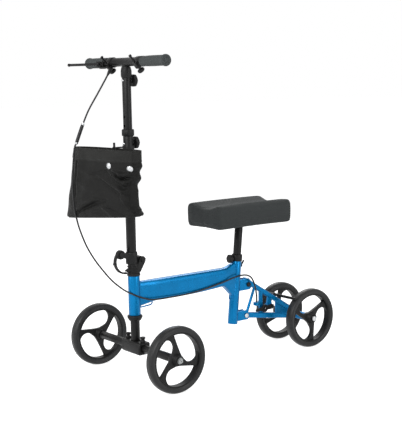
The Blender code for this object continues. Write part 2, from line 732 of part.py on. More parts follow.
def resampled(dense, spacing):
    lengths = [0.0]
    for start, end in zip(dense, dense[1:]):
        lengths.append(lengths[-1] + (end - start).length)
    count = max(2, round(lengths[-1] / spacing))
    result = [dense[0]]
    index = 0
    for step in range(1, count):
        target = lengths[-1] * step / count
        while lengths[index + 1] < target:
            index += 1
        share = (target - lengths[index]) / (lengths[index + 1] - lengths[index])
        result.append(dense[index].lerp(dense[index + 1], share))
    return result + [dense[-1]]


def swept_rod(points, radius, sides=8):
    """A rod of one radius along a few points, with flat ends."""
    shape = bmesh.new()
    rings = []
    for index, point in enumerate(points):
        before = points[max(index - 1, 0)]
        after = points[min(index + 1, len(points) - 1)]
        frame = along(point, after - before)
        angles = [2 * math.pi * step / sides for step in range(sides)]
        circle = [Vector((radius * math.cos(a), radius * math.sin(a), 0)) for a in angles]
        rings.append([shape.verts.new(frame @ corner) for corner in circle])
    shape.faces.new(rings[0][::-1])
    shape.faces.new(rings[-1])
    for low, high in zip(rings, rings[1:]):
        bridge(shape, low, high)
    bmesh.ops.recalc_face_normals(shape, faces=shape.faces)
    return shape


def cable_piece(dense, first, last):
    """One piece of the cable. Its ends run straight, so that they lie square to the next piece's ends."""
    points = resampled(dense[first:last + 1], CABLE_POINT_SPACING)
    start_run = (dense[first + 1] - dense[max(first - 1, 0)]).normalized()
    end_run = (dense[min(last + 1, len(dense) - 1)] - dense[last - 1]).normalized()
    start = [dense[first] + start_run * GAP / 2, dense[first] + start_run * CABLE_END_RUN]
    end = [dense[last] - end_run * CABLE_END_RUN, dense[last] - end_run * GAP / 2]
    return start + points[1:-1] + end


def build_cables(model):
    dense = smooth_route(CABLE_ROUTE, CABLE_STEPS)
    for name, body, first, last, radius in CABLE_PIECES:
        curve = bpy.data.curves.new(name, "CURVE")
        curve.dimensions = "3D"
        curve.bevel_depth = radius
        curve.bevel_resolution = 2
        curve.use_fill_caps = True
        spline = curve.splines.new("POLY")
        points = cable_piece(dense, first * CABLE_STEPS, last * CABLE_STEPS)
        spline.points.add(len(points) - 1)
        for slot, point in zip(spline.points, points):
            slot.co = (*point, 1.0)
        curve.materials.append(CABLE_SKIN)
        model.link(bpy.data.objects.new(name, curve), body, Matrix.Translation(-model.offsets[body]))


def smooth_step(value):
    value = min(max(value, 0.0), 1.0)
    return value * value * (3 - 2 * value)


# Wheels

def opening_outline():
    """One opening between two spokes: a straight side, the rim's arc and a round lobe."""
    third = 2 * math.pi / SPOKES
    away = third - math.pi / 2
    along_spoke = Vector((math.cos(third), math.sin(third)))
    beside = Vector((math.cos(away), math.sin(away))) * SPOKE_OFFSET
    near_hub = beside + along_spoke * 0.004
    reach = math.sqrt(OPENING_RADIUS ** 2 - SPOKE_OFFSET ** 2)
    at_rim = beside + along_spoke * reach
    rim_angle = math.atan2(at_rim.y, at_rim.x)
    centre_radius = OPENING_RADIUS - LOBE_RADIUS
    centre = (centre_radius * math.cos(LOBE_ANGLE), centre_radius * math.sin(LOBE_ANGLE))
    rim = arc((0.0, 0.0), OPENING_RADIUS, rim_angle, LOBE_ANGLE, OPENING_RIM_POINTS)
    lobe = arc(centre, LOBE_RADIUS, LOBE_ANGLE, LOBE_ANGLE - LOBE_SWEEP, OPENING_LOBE_POINTS)
    return [tuple(near_hub)] + rim + lobe[1:]


def wheel_core_mesh(model):
    """Hub, web and rim turned as one, with the spoke openings cut out of the web."""
    half_hub = HUB_LENGTH / 2
    half_rim = RIM_WIDTH / 2
    half_web = WEB_WIDTH / 2
    rim_foot = OPENING_RADIUS - 0.0008
    profile = [
        (HUB_BORE, -half_hub), (HUB_RADIUS - SOFT_EDGE, -half_hub), (HUB_RADIUS + EDGE, -half_web),
        (rim_foot, -half_web), (rim_foot + EDGE, -half_rim), (RIM_RADIUS, -half_rim), (RIM_RADIUS, half_rim),
        (rim_foot + EDGE, half_rim), (rim_foot, half_web), (HUB_RADIUS + EDGE, half_web),
        (HUB_RADIUS - SOFT_EDGE, half_hub), (HUB_BORE, half_hub),
    ]
    master = model.piece("wheel_master", turned(profile, WHEEL_FACETS, True), "frame", BLACK_PLASTIC)
    for index in range(SPOKES):
        turn = Matrix.Rotation(2 * math.pi * index / SPOKES, 4, "Z")
        model.cut(master, prism(opening_outline(), WEB_WIDTH * 1.6), turn)
    bpy.context.view_layer.update()
    graph = bpy.context.evaluated_depsgraph_get()
    mesh = bpy.data.meshes.new_from_object(master.evaluated_get(graph))
    for modifier in list(master.modifiers):
        bpy.data.objects.remove(modifier.object, do_unlink=True)
    bpy.data.objects.remove(master, do_unlink=True)
    mesh.name = "wheel_core"
    return mesh


def tyre_shape():
    """The tyre's ring, its facets' middles on the rolling radius, so that one rests flat on the floor."""
    to_corner = 1 / math.cos(math.pi / TYRE_FACETS)
    inner = (RIM_RADIUS + GAP) * to_corner
    tread = WHEEL_RADIUS * to_corner
    shoulder = inner + TYRE_DEPTH * 0.62
    profile = [
        (inner, -RIM_WIDTH / 2), (shoulder, -TYRE_WIDTH / 2), (tread - 0.0025, -TREAD_FLAT / 2 - 0.0045),
        (tread, -TREAD_FLAT / 2), (tread, TREAD_FLAT / 2), (tread - 0.0025, TREAD_FLAT / 2 + 0.0045),
        (shoulder, TYRE_WIDTH / 2), (inner, RIM_WIDTH / 2),
    ]
    return turned(profile, TYRE_FACETS, True)


def build_wheels(model):
    core = wheel_core_mesh(model)
    tyre = as_mesh(tyre_shape(), "tyre")
    stations = (
        ("front_left", FRONT_TRACK / 2, 0.0, 1, FRONT_SPOKE_ANGLES[0], "steering"),
        ("front_right", -FRONT_TRACK / 2, 0.0, 1, FRONT_SPOKE_ANGLES[1], "steering"),
        ("rear_left", REAR_TRACK / 2, WHEELBASE, -1, REAR_SPOKE_ANGLES[0], "frame"),
        ("rear_right", -REAR_TRACK / 2, WHEELBASE, -1, REAR_SPOKE_ANGLES[1], "frame"),
    )
    for label, x, y, facing, angle, parent in stations:
        centre = (x, y, WHEEL_RADIUS)
        body = label + "_wheel"
        model.body(body, centre, parent)
        frame = along(centre, (facing, 0.0, 0.0))
        spin = Matrix.Rotation(facing * (math.pi / 2 + angle), 4, "Z")
        model.piece(label + "_wheel", core, body, BLACK_PLASTIC, frame @ spin)
        model.piece(label + "_tyre", tyre, body, TYRE_RUBBER, frame)


# Front axle and steering

def build_front_axle(model):
    side_axis = (1.0, 0.0, 0.0)
    housing = model.piece(
        "axle_housing", block(HOUSING_LENGTH, HOUSING_DEPTH, HOUSING_HEIGHT, HOUSING_EDGE),
        "steering", BLACK_PAINT, at(0.0, 0.0, WHEEL_RADIUS),
    )
    model.cut(
        housing, rod(AXLE_TUBE_RADIUS + GAP, -HOUSING_LENGTH, HOUSING_LENGTH, TUBE_FACETS),
        along((0.0, 0.0, WHEEL_RADIUS), side_axis),
    )
    housing_top = WHEEL_RADIUS + HOUSING_HEIGHT / 2
    socket = rod(STEERER_BORE, housing_top - STEERER_SOCKET_DEPTH, housing_top + CUT_PAST, TUBE_FACETS)
    model.cut(housing, socket)
    hub_inner = FRONT_TRACK / 2 - HUB_LENGTH / 2 - GAP
    hub_outer = FRONT_TRACK / 2 + HUB_LENGTH / 2 + GAP
    inner_end = AXLE_TUBE_SPACING / 2
    bore = AXLE_TUBE_RADIUS - AXLE_TUBE_WALL
    plug = hub_inner - AXLE_PLUG_LENGTH
    spindle_end = hub_outer + NUT_LENGTH - EDGE
    profile = [
        (0.0, plug), (bore, plug), (bore, inner_end), (AXLE_TUBE_RADIUS, inner_end),
        (AXLE_TUBE_RADIUS, hub_inner), (SPINDLE_RADIUS, hub_inner), (SPINDLE_RADIUS, spindle_end),
        (0.0, spindle_end),
    ]
    nut = [
        (HUB_BORE, hub_outer), (NUT_RADIUS, hub_outer), (NUT_RADIUS, hub_outer + NUT_LENGTH - SOFT_EDGE),
        (NUT_RADIUS - SOFT_EDGE, hub_outer + NUT_LENGTH), (HUB_BORE, hub_outer + NUT_LENGTH),
    ]
    for label, side in (("left", 1), ("right", -1)):
        frame = along((0.0, 0.0, WHEEL_RADIUS), (side, 0.0, 0.0))
        tube = turned(profile, TUBE_FACETS)
        axle = model.piece("front_axle_" + label, tube, "steering", BLACK_PAINT, frame)
        ring = turned(nut, PIN_FACETS, True)
        model.piece("front_axle_nut_" + label, ring, "steering", BRIGHT_STEEL, frame)
        pin_x = side * LOCK_PIN_SPREAD / 2
        for holed in (housing, axle):
            pin_hole = rod(LOCK_PIN_RADIUS + GAP, WHEEL_RADIUS + LOCK_HOLE_FLOOR, housing_top + CUT_PAST)
            model.cut(holed, pin_hole, at(pin_x, 0.0, 0.0))
        build_lock_pin(model, label, pin_x, housing_top)


def build_lock_pin(model, label, pin_x, seat):
    body = "axle_pin_" + label
    model.body(body, (pin_x, 0.0, seat), "steering")
    low = seat + GAP
    top = low + LOCK_KNOB_HEIGHT
    tip = seat - LOCK_PIN_DEPTH
    waist = LOCK_KNOB_RADIUS * LOCK_WAIST_SHARE
    waist_heights = [low + height for height in LOCK_WAIST_HEIGHTS]
    waist_radii = (LOCK_KNOB_RADIUS, waist, waist, LOCK_KNOB_RADIUS)
    profile = [(0.0, tip), (LOCK_PIN_RADIUS, tip), (LOCK_PIN_RADIUS, low), (LOCK_KNOB_RADIUS, low)]
    profile += zip(waist_radii, waist_heights)
    profile += [(LOCK_KNOB_RADIUS, top - BEVEL), (LOCK_KNOB_RADIUS - BEVEL, top), (0.0, top)]
    pin = turned(profile, PIN_FACETS)
    model.piece("axle_lock_pin_" + label, pin, body, BLACK_PLASTIC, at(pin_x, 0.0, 0.0))


def build_head_set(model):
    housing_top = WHEEL_RADIUS + HOUSING_HEIGHT / 2
    steerer_low = housing_top - STEERER_SOCKET_DEPTH + GAP
    steerer_high = BASE_TOP - STEERER_COVER
    steerer = pipe(STEERER_RADIUS, STEERER_RADIUS - STEERER_WALL, steerer_low, steerer_high)
    model.piece("steerer", steerer, "steering", BLACK_PAINT)
    head = pipe(HEAD_TUBE_RADIUS, HEAD_TUBE_RADIUS - HEAD_TUBE_WALL, HEAD_TUBE_BOTTOM, HEAD_TUBE_TOP)
    model.piece("head_tube", head, "frame", BLUE_PAINT)
    low = HEAD_TUBE_BOTTOM - GAP
    lower = [
        (CUP_BORE, low), (LOWER_CUP_RADIUS - EDGE, low), (LOWER_CUP_RADIUS, low - BEVEL),
        (LOWER_CUP_RADIUS, low - LOWER_CUP_BAND), (STEERER_RADIUS + CUP_NECK, low - LOWER_CUP_HEIGHT),
        (CUP_BORE, low - LOWER_CUP_HEIGHT),
    ]
    model.piece("lower_head_cup", turned(lower, TUBE_FACETS, True), "frame", BLACK_PLASTIC)
    high = HEAD_TUBE_TOP + GAP
    upper = [
        (CUP_BORE, high), (UPPER_CUP_RADIUS, high), (UPPER_CUP_RADIUS, high + UPPER_CUP_HEIGHT - SOFT_EDGE),
        (UPPER_CUP_RADIUS - BEVEL, high + UPPER_CUP_HEIGHT - GAP), (CUP_BORE, high + UPPER_CUP_HEIGHT - GAP),
    ]
    model.piece("upper_head_cup", turned(upper, TUBE_FACETS, True), "frame", BLACK_PLASTIC)


# Main frame

def seat_axis_y(z):
    return SEAT_TUBE_FOOT[0] + math.tan(SEAT_LEAN) * (z - SEAT_TUBE_FOOT[1])


def beam_station(y, front, rear):
    """Top, bottom and half width of the beam where it is y from the steering axis."""
    to_front = smooth_step(1 - (y - front) / FRONT_GUSSET_REACH)
    to_rear = smooth_step(1 - (rear - y) / REAR_GUSSET_REACH)
    to_flare = smooth_step(1 - (rear - y) / TOP_FLARE_REACH)
    arch = smooth_step(1 - (rear - y) / (3 * REAR_GUSSET_REACH))
    top = BEAM_TOP + TOP_FLARE_RISE * to_flare
    bottom = BEAM_TOP - BEAM_DEPTH - FRONT_GUSSET_DEPTH * to_front
    bottom += REAR_ARCH_RISE * arch - REAR_GUSSET_DEPTH * to_rear
    narrowing = max(to_front * BEAM_FRONT_NARROWING, to_rear * BEAM_REAR_NARROWING)
    return top, bottom, BEAM_HALF_WIDTH * (1 - narrowing)


def beam_shape(front, rear):
    """A closed loft of rounded sections from the head tube to the seat tube."""
    shape = bmesh.new()
    rings = []
    for index in range(BEAM_STATIONS):
        share = index / (BEAM_STATIONS - 1)
        y = front + (rear - front) * (1 - (1 - share) ** BEAM_STATION_POWER)
        top, bottom, half_width = beam_station(y, front, rear)
        ring = []
        for step in range(BEAM_SECTION_POINTS):
            angle = 2 * math.pi * (step + 0.5) / BEAM_SECTION_POINTS
            x = half_width * rounded(math.cos(angle), BEAM_CORNER_POWER)
            z = (top + bottom) / 2 + (top - bottom) / 2 * rounded(math.sin(angle), BEAM_CORNER_POWER)
            ring.append(shape.verts.new((x, y, z)))
        rings.append(ring)
    shape.faces.new(rings[0][::-1])
    shape.faces.new(rings[-1])
    for low, high in zip(rings, rings[1:]):
        bridge(shape, low, high)
    bmesh.ops.recalc_face_normals(shape, faces=shape.faces)
    bmesh.ops.triangulate(shape, faces=shape.faces)
    return shape


def rounded(value, power):
    return math.copysign(abs(value) ** (2 / power), value)


def build_beam(model):
    front = HEAD_TUBE_RADIUS * 0.45
    rear = seat_axis_y(BEAM_TOP - BEAM_DEPTH / 2)
    beam = model.piece("main_beam", beam_shape(front, rear), "frame", BLUE_PAINT)
    bottom = BEAM_TOP - BEAM_DEPTH
    guide_z = bottom - GUIDE_ROD_DROP
    loop = [Vector((0.0, HEAD_TUBE_RADIUS * 0.8, guide_z - SOFT_EDGE))]
    for back, rise in GUIDE_ROD_BEND:
        loop.append(Vector((0.0, GUIDE_ROD_REACH - back, guide_z + rise)))
    loop.append(Vector((0.0, GUIDE_ROD_REACH, bottom + GUIDE_ROD_SINK)))
    model.add(beam, swept_rod(loop, GUIDE_ROD_RADIUS))
    head_low = HEAD_TUBE_BOTTOM - 2 * CUT_PAST
    head_high = HEAD_TUBE_TOP + 2 * CUT_PAST
    model.cut(beam, rod(HEAD_TUBE_RADIUS + GAP, head_low, head_high, TUBE_FACETS))
    seat_room = rod(SEAT_TUBE_RADIUS + GAP, -2 * CUT_PAST, SEAT_TUBE_LENGTH + 5 * CUT_PAST, TUBE_FACETS)
    model.cut(beam, seat_room, along(SEAT_BASE, SEAT_AXIS))


def bracket_plate(bolt, height):
    """One cheek of a bracket behind the seat tube, drawn in Y and Z."""
    low = bolt[1] - height * BRACKET_SHARE_BELOW
    high = bolt[1] + height * (1 - BRACKET_SHARE_BELOW)
    back = bolt[0] + BRACKET_BEHIND_BOLT
    return [
        (seat_axis_y(low) + BRACKET_ROOT, low),
        (back - BRACKET_LOW_CORNER, low), (back, low + BRACKET_LOW_CORNER),
        (back, high - BRACKET_HIGH_CORNER), (back - BRACKET_HIGH_CORNER, high),
        (seat_axis_y(high) + BRACKET_ROOT, high),
    ]


def build_seat_tube(model):
    tube = model.piece(
        "seat_tube", pipe(SEAT_TUBE_RADIUS, SEAT_TUBE_INNER, 0.0, SEAT_TUBE_LENGTH), "frame", BLUE_PAINT,
        along(SEAT_BASE, SEAT_AXIS),
    )
    plate_x = BRACKET_INNER + BRACKET_PLATE / 2
    brackets = ((UPPER_BRACKET_BOLT, UPPER_BRACKET_HEIGHT), (LOWER_BRACKET_BOLT, LOWER_BRACKET_HEIGHT))
    for bolt, height in brackets:
        for side in (1, -1):
            model.add(tube, prism(bracket_plate(bolt, height), BRACKET_PLATE), on_side(side * plate_x))
        hole = rod(BRACKET_BOLT_RADIUS + GAP, -PIN_CUT_HALF, PIN_CUT_HALF)
        model.cut(tube, hole, along((0.0, bolt[0], bolt[1]), (1.0, 0.0, 0.0)))
    pin_hole = rod(SEAT_PIN_RADIUS + GAP, 0.0, SEAT_TUBE_RADIUS + CUT_PAST)
    model.cut(tube, pin_hole, seat_side_frame(SEAT_TUBE_LENGTH - SEAT_PIN_DROP, 1))
    outer = plate_x + BRACKET_PLATE / 2 + GAP
    for name, bolt, finish in (
        ("upper_bracket_bolt", UPPER_BRACKET_BOLT, BLACK_PLASTIC),
        ("lower_bracket_bolt", LOWER_BRACKET_BOLT, BRIGHT_STEEL),
    ):
        frame = along((0.0, bolt[0], bolt[1]), (1.0, 0.0, 0.0))
        pin = cross_pin(BRACKET_BOLT_RADIUS, BRACKET_BOLT_HEAD, outer, BRACKET_BOLT_HEAD_LENGTH)
        model.piece(name, pin, "frame", finish, frame)


def cross_pin(radius, head_radius, reach, head_length):
    """A pin with a head at each end, lying along its own Z."""
    edge = head_length * 0.3
    return turned([
        (0.0, -reach - head_length), (head_radius - edge, -reach - head_length), (head_radius, -reach - edge),
        (head_radius, -reach), (radius, -reach), (radius, reach), (head_radius, reach),
        (head_radius, reach + head_length - edge), (head_radius - edge, reach + head_length),
        (0.0, reach + head_length),
    ], PIN_FACETS)


def seat_side_frame(distance, facing):
    """A frame on the seat tube's axis that looks to the rear (1) or to the front (-1), square to the tube."""
    outward = Vector((0.0, math.cos(SEAT_LEAN), -math.sin(SEAT_LEAN))) * facing
    return along(SEAT_BASE + SEAT_AXIS * distance, outward)


# Rear frame and brake

def sloped_bar(start, end, width, height):
    """A square tube's outside from start to end, in the Y and Z plane."""
    run = end - start
    shape = block(width, height, run.length, REAR_TUBE_EDGE)
    return shape, along((start + end) / 2, run)


def build_rear_frame(model):
    upper_run = Vector((0.0, math.cos(UPPER_TUBE_SLOPE), -math.sin(UPPER_TUBE_SLOPE)))
    lower_run = Vector((0.0, math.cos(LOWER_TUBE_SLOPE), -math.sin(LOWER_TUBE_SLOPE)))
    upper_start = Vector((0.0, *UPPER_TUBE_FRONT)) - upper_run * REAR_TUBE_FRONT_REACH
    lower_start = Vector((0.0, *LOWER_BRACKET_BOLT)) - lower_run * REAR_TUBE_FRONT_REACH
    upper_end = upper_start + upper_run * ((WHEELBASE - upper_start.y) / upper_run.y)
    lower_end = lower_start + lower_run * ((WHEELBASE - lower_start.y) / lower_run.y)
    shape, frame = sloped_bar(upper_start, upper_end, REAR_TUBE_SIZE, REAR_TUBE_SIZE)
    rear = model.piece("rear_frame", shape, "frame", BLUE_PAINT, frame)
    model.add(rear, *sloped_bar(lower_start, lower_end, REAR_TUBE_SIZE, LOWER_TUBE_HEIGHT))
    sleeve = rod(AXLE_SLEEVE_RADIUS, -rear_sleeve_half(), rear_sleeve_half(), RING_FACETS)
    model.add(rear, sleeve, along(REAR_AXLE, (1, 0, 0)))
    lug_tip = REAR_TUBE_SIZE / 4
    bolt_lug = link_outline(UPPER_BRACKET_BOLT, BOLT_LUG_RADIUS, UPPER_TUBE_FRONT, lug_tip, LUG_END_POINTS)
    model.add(rear, prism(bolt_lug, REAR_TUBE_SIZE - 2 * REAR_TUBE_EDGE), on_side())
    upright_high = point_on(upper_start, upper_run, UPRIGHT_Y)
    upright_low = point_on(lower_start, lower_run, UPRIGHT_Y)
    model.add(rear, *sloped_bar(upright_low, upright_high, UPRIGHT_SIZE, UPRIGHT_SIZE))
    diagonal_high = point_on(upper_start, upper_run, UPRIGHT_Y - DIAGONAL_TOP_FORWARD)
    diagonal_low = point_on(lower_start, lower_run, lower_start.y + DIAGONAL_FOOT_BACK)
    model.add(rear, *sloped_bar(diagonal_low, diagonal_high, DIAGONAL_SIZE, DIAGONAL_SIZE))
    add_rear_gussets(model, rear, upper_start, upper_run, lower_start, lower_run)
    add_cable_stop(model, rear, UPRIGHT_Y)
    for bolt in (UPPER_BRACKET_BOLT, LOWER_BRACKET_BOLT):
        hole = rod(BRACKET_BOLT_RADIUS + GAP, -REAR_TUBE_SIZE, REAR_TUBE_SIZE)
        model.cut(rear, hole, along((0.0, bolt[0], bolt[1]), (1.0, 0.0, 0.0)))
    model.cut(rear, rod(HUB_BORE, -REAR_TRACK, REAR_TRACK), along(REAR_AXLE, (1, 0, 0)))
    crank_hole = rod(CRANK_PIN_RADIUS + GAP, -2 * CRANK_SIDE, 2 * CRANK_SIDE)
    model.cut(rear, crank_hole, along((0.0, *CRANK_PIVOT), (1, 0, 0)))
    outer = REAR_TRACK / 2 + HUB_LENGTH / 2 + GAP
    axle = cross_pin(SPINDLE_RADIUS, NUT_RADIUS, outer, NUT_LENGTH)
    model.piece("rear_axle", axle, "frame", BRIGHT_STEEL, along(REAR_AXLE, (1, 0, 0)))


def rear_sleeve_half():
    return REAR_TRACK / 2 - HUB_LENGTH / 2 - GAP


def point_on(start, run, y):
    return start + run * ((y - start.y) / run.y)


def add_rear_gussets(model, rear, upper_start, upper_run, lower_start, lower_run):
    """The plate at the axle between the two tubes, and the lug that carries the brake crank."""
    plate_front = WHEELBASE - GUSSET_FRONT
    plate_rear = WHEELBASE - GUSSET_REAR
    outline = []
    for y in (plate_front, plate_rear):
        low = point_on(lower_start, lower_run, y)
        outline.append((low.y, low.z))
    for y in (plate_rear, plate_front):
        high = point_on(upper_start, upper_run, y)
        outline.append((high.y, high.z))
    model.add(rear, prism(outline, GUSSET_THICKNESS), on_side())
    seat = point_on(upper_start, upper_run, CRANK_PIVOT[0])
    lug = link_outline(CRANK_PIVOT, CRANK_LUG_RADIUS, (seat.y, seat.z), REAR_TUBE_SIZE / 4, LUG_END_POINTS)
    model.add(rear, prism(lug, REAR_TUBE_SIZE - 2 * REAR_TUBE_EDGE), on_side())
    sleeve_half = CRANK_SIDE - CRANK_ARM_THICKNESS / 2 - GAP
    sleeve = rod(CRANK_SLEEVE_RADIUS, -sleeve_half, sleeve_half, HOLE_FACETS)
    model.add(rear, sleeve, along((0.0, *CRANK_PIVOT), (1, 0, 0)))


def add_cable_stop(model, rear, upright_y):
    """A small eye on the upright that the cable's casing stops in."""
    near = CABLE_STOP.x - CABLE_STOP_RADIUS
    front = CABLE_STOP.y - CABLE_STOP_RADIUS
    inner = near - CABLE_STOP_ROOT
    outline = [
        (inner, upright_y - SOFT_EDGE), (inner, front + CABLE_STOP_CORNER),
        (inner + CABLE_STOP_CORNER, front),
    ]
    outline += arc(CABLE_STOP.xy, CABLE_STOP_RADIUS, math.radians(-90), math.radians(90), 7)
    outline += [(near, front + 2 * CABLE_STOP_RADIUS), (near, upright_y - SOFT_EDGE)]
    middle = CABLE_STOP.z - CABLE_STOP_HEIGHT / 2
    model.add(rear, prism(outline, CABLE_STOP_HEIGHT), at(0.0, 0.0, middle))
    hole = rod(WIRE_RADIUS + WIRE_PLAY, -CABLE_STOP_HEIGHT - CUT_PAST, CUT_PAST, HOLE_FACETS)
    model.cut(rear, hole, at(CABLE_STOP.x, CABLE_STOP.y, CABLE_STOP.z))


def brake_bar_place():
    """The cross bar's place in Y and Z: just ahead of the tyres and just above the upper tube."""
    reach = WHEEL_RADIUS + BRAKE_BAR_CLEARANCE + BRAKE_BAR_RADIUS
    over_line = REAR_TUBE_SIZE / 2 + BRAKE_BAR_RADIUS + BRAKE_BAR_OVER_TUBE
    over_line += UPPER_TUBE_OVER_AXLE * math.cos(UPPER_TUBE_SLOPE)
    angle = UPPER_TUBE_SLOPE + math.asin(over_line / reach)
    return (WHEELBASE - reach * math.cos(angle), WHEEL_RADIUS + reach * math.sin(angle))


def build_brake_crank(model):
    """The crank: a pin, an arm up to the cross bar and an arm forward to the cable, one on each side."""
    model.body("brake_crank", (0.0, *CRANK_PIVOT), "frame")
    pin_half = CRANK_SIDE + CRANK_ARM_THICKNESS / 2 + CRANK_PIN_PROUD
    across = (1.0, 0.0, 0.0)
    crank = model.piece(
        "brake_crank", rod(CRANK_PIN_RADIUS, -pin_half, pin_half), "brake_crank", BLACK_PAINT,
        along((0.0, *CRANK_PIVOT), across),
    )
    bar = brake_bar_place()
    bar_arm = link_outline(CRANK_PIVOT, CRANK_HUB_RADIUS, bar, CRANK_TIP_RADIUS, LUG_END_POINTS)
    model.add(crank, prism(bar_arm, CRANK_ARM_THICKNESS), on_side(-CRANK_SIDE))
    half = REAR_TRACK / 2 + TYRE_WIDTH / 2 - BRAKE_BAR_SHORT
    model.add(crank, rod(BRAKE_BAR_RADIUS, -half, half), along((0.0, *bar), across))
    hook = (CABLE_STOP.y, CABLE_STOP.z - CABLE_STOP_HEIGHT - CRANK_HOOK_DROP)
    cable_arm = link_outline(CRANK_PIVOT, CRANK_HUB_RADIUS, hook, CRANK_HOOK_RADIUS, LUG_END_POINTS)
    model.add(crank, prism(cable_arm, CRANK_ARM_THICKNESS), on_side(CRANK_SIDE))
    eye = [blend(start, end, CRANK_EYE_SHARE) for start, end in zip(CRANK_PIVOT, hook)]
    eye_place = along((CRANK_SIDE, *eye), across)
    eye_half = CRANK_ARM_THICKNESS / 2
    model.add(crank, rod(CRANK_EYE_RADIUS, -eye_half, eye_half), eye_place)
    model.cut(crank, rod(CRANK_EYE_HOLE, -eye_half - CUT_PAST, eye_half + CUT_PAST, HOLE_FACETS), eye_place)
    wire_top = CABLE_STOP.z - CABLE_STOP_HEIGHT - GAP
    model.add(crank, rod(WIRE_RADIUS, hook[1], wire_top, HOLE_FACETS), at(CABLE_STOP.x, hook[0], 0.0))


# Fold joint

def build_fold_joint(model):
    ridge = BASE_RADIUS + BASE_RIDGE
    profile = [(0.0, BASE_BOTTOM)]
    for index in range(BASE_RIDGE_COUNT):
        low = BASE_BOTTOM + index * BASE_RIDGE_PITCH
        profile += [(ridge, low), (ridge, low + BASE_RIDGE_LENGTH)]
        profile += [(BASE_RADIUS, low + height) for height in BASE_GROOVE_HEIGHTS]
    profile += [(BASE_RADIUS, BASE_TOP), (0.0, BASE_TOP)]
    base = model.piece("hinge_base", turned(profile, RING_FACETS), "steering", BLACK_PLASTIC)
    lug_x = YOKE_HALF_LUG + LUG_PLAY + LUG_THICKNESS / 2
    lug = link_outline(BASE_LUG_FOOT, LUG_FOOT_RADIUS, BASE_PIVOT, LUG_RADIUS)
    for side in (1, -1):
        model.add(base, prism(lug, LUG_THICKNESS), on_side(side * lug_x))
    catch = link_outline(CATCH_FOOT, CATCH_FOOT_RADIUS, catch_place(), CATCH_RADIUS)
    model.add(base, prism(catch, 2 * CAM_HALF_WIDTH), on_side())
    yoke_room = rod(YOKE_RADIUS + LUG_PLAY, BASE_TOP, BASE_TOP + 3 * CUT_PAST, TUBE_FACETS)
    model.cut(base, yoke_room, at(0.0, -COLUMN_FORWARD, 0.0))
    model.cut(base, rod(STEERER_BORE, BASE_BOTTOM - CUT_PAST, BASE_TOP - STEERER_COVER + GAP, TUBE_FACETS))
    pin_hole = rod(FOLD_PIN_RADIUS + GAP, -PIN_CUT_HALF, PIN_CUT_HALF)
    model.cut(base, pin_hole, along((0.0, *BASE_PIVOT), (1, 0, 0)))
    outer = lug_x + LUG_THICKNESS / 2 + GAP
    pin = cross_pin(FOLD_PIN_RADIUS, FOLD_PIN_HEAD, outer, FOLD_PIN_HEAD_LENGTH)
    model.piece("fold_pin", pin, "steering", BLACK_PLASTIC, along((0.0, *BASE_PIVOT), (1, 0, 0)))
    build_yoke(model)
    build_cam_lever(model)


def catch_place():
    """The catch's rounded end, just above the blade's foot and far enough back for the foot to lift past."""
    reach = CAM_BLADE_RADIUS - CAM_BLADE_THICKNESS / 2 - CATCH_RADIUS - 2 * GAP
    return (CAM_BLADE_CENTRE[0] - COLUMN_FORWARD + CATCH_SETBACK, CAM_BLADE_CENTRE[1] - reach)


def build_yoke(model):
    model.body("column", (0.0, *FOLD_PIVOT), "steering", COLUMN_OFFSET)
    top = YOKE_BOTTOM + YOKE_HEIGHT
    floor = YOKE_BOTTOM + YOKE_FLOOR
    profile = [
        (0.0, YOKE_BOTTOM), (YOKE_RADIUS, YOKE_BOTTOM), (YOKE_RADIUS, top - 3 * EDGE),
        (YOKE_RADIUS - EDGE, top),
        (YOKE_BORE, top), (YOKE_BORE, floor), (0.0, floor),
    ]
    yoke = model.piece("hinge_yoke", turned(profile, TUBE_FACETS), "column", BLACK_PLASTIC)
    rear = link_outline(YOKE_LUG_FOOT, LUG_FOOT_RADIUS, FOLD_PIVOT, LUG_RADIUS - GAP)
    model.add(yoke, prism(rear, 2 * YOKE_HALF_LUG), on_side())
    cheek = CAM_HALF_WIDTH + CAM_PLAY
    front = link_outline(CAM_CHEEK_FOOT, LUG_FOOT_RADIUS, CAM_PIVOT, LUG_FOOT_RADIUS)
    for side in (1, -1):
        model.add(yoke, prism(front, CAM_CHEEK_THICKNESS), on_side(side * (cheek + CAM_CHEEK_THICKNESS / 2)))
    cam_pin = rod(CAM_PIN_RADIUS, -cheek - SOFT_EDGE, cheek + SOFT_EDGE)
    model.add(yoke, cam_pin, along((0.0, *CAM_PIVOT), (1, 0, 0)))
    model.cut(yoke, rod(YOKE_BORE, floor, top + CUT_PAST, TUBE_FACETS))
    pin_hole = rod(FOLD_PIN_RADIUS + GAP, -PIN_CUT_HALF, PIN_CUT_HALF)
    model.cut(yoke, pin_hole, along((0.0, *FOLD_PIVOT), (1, 0, 0)))


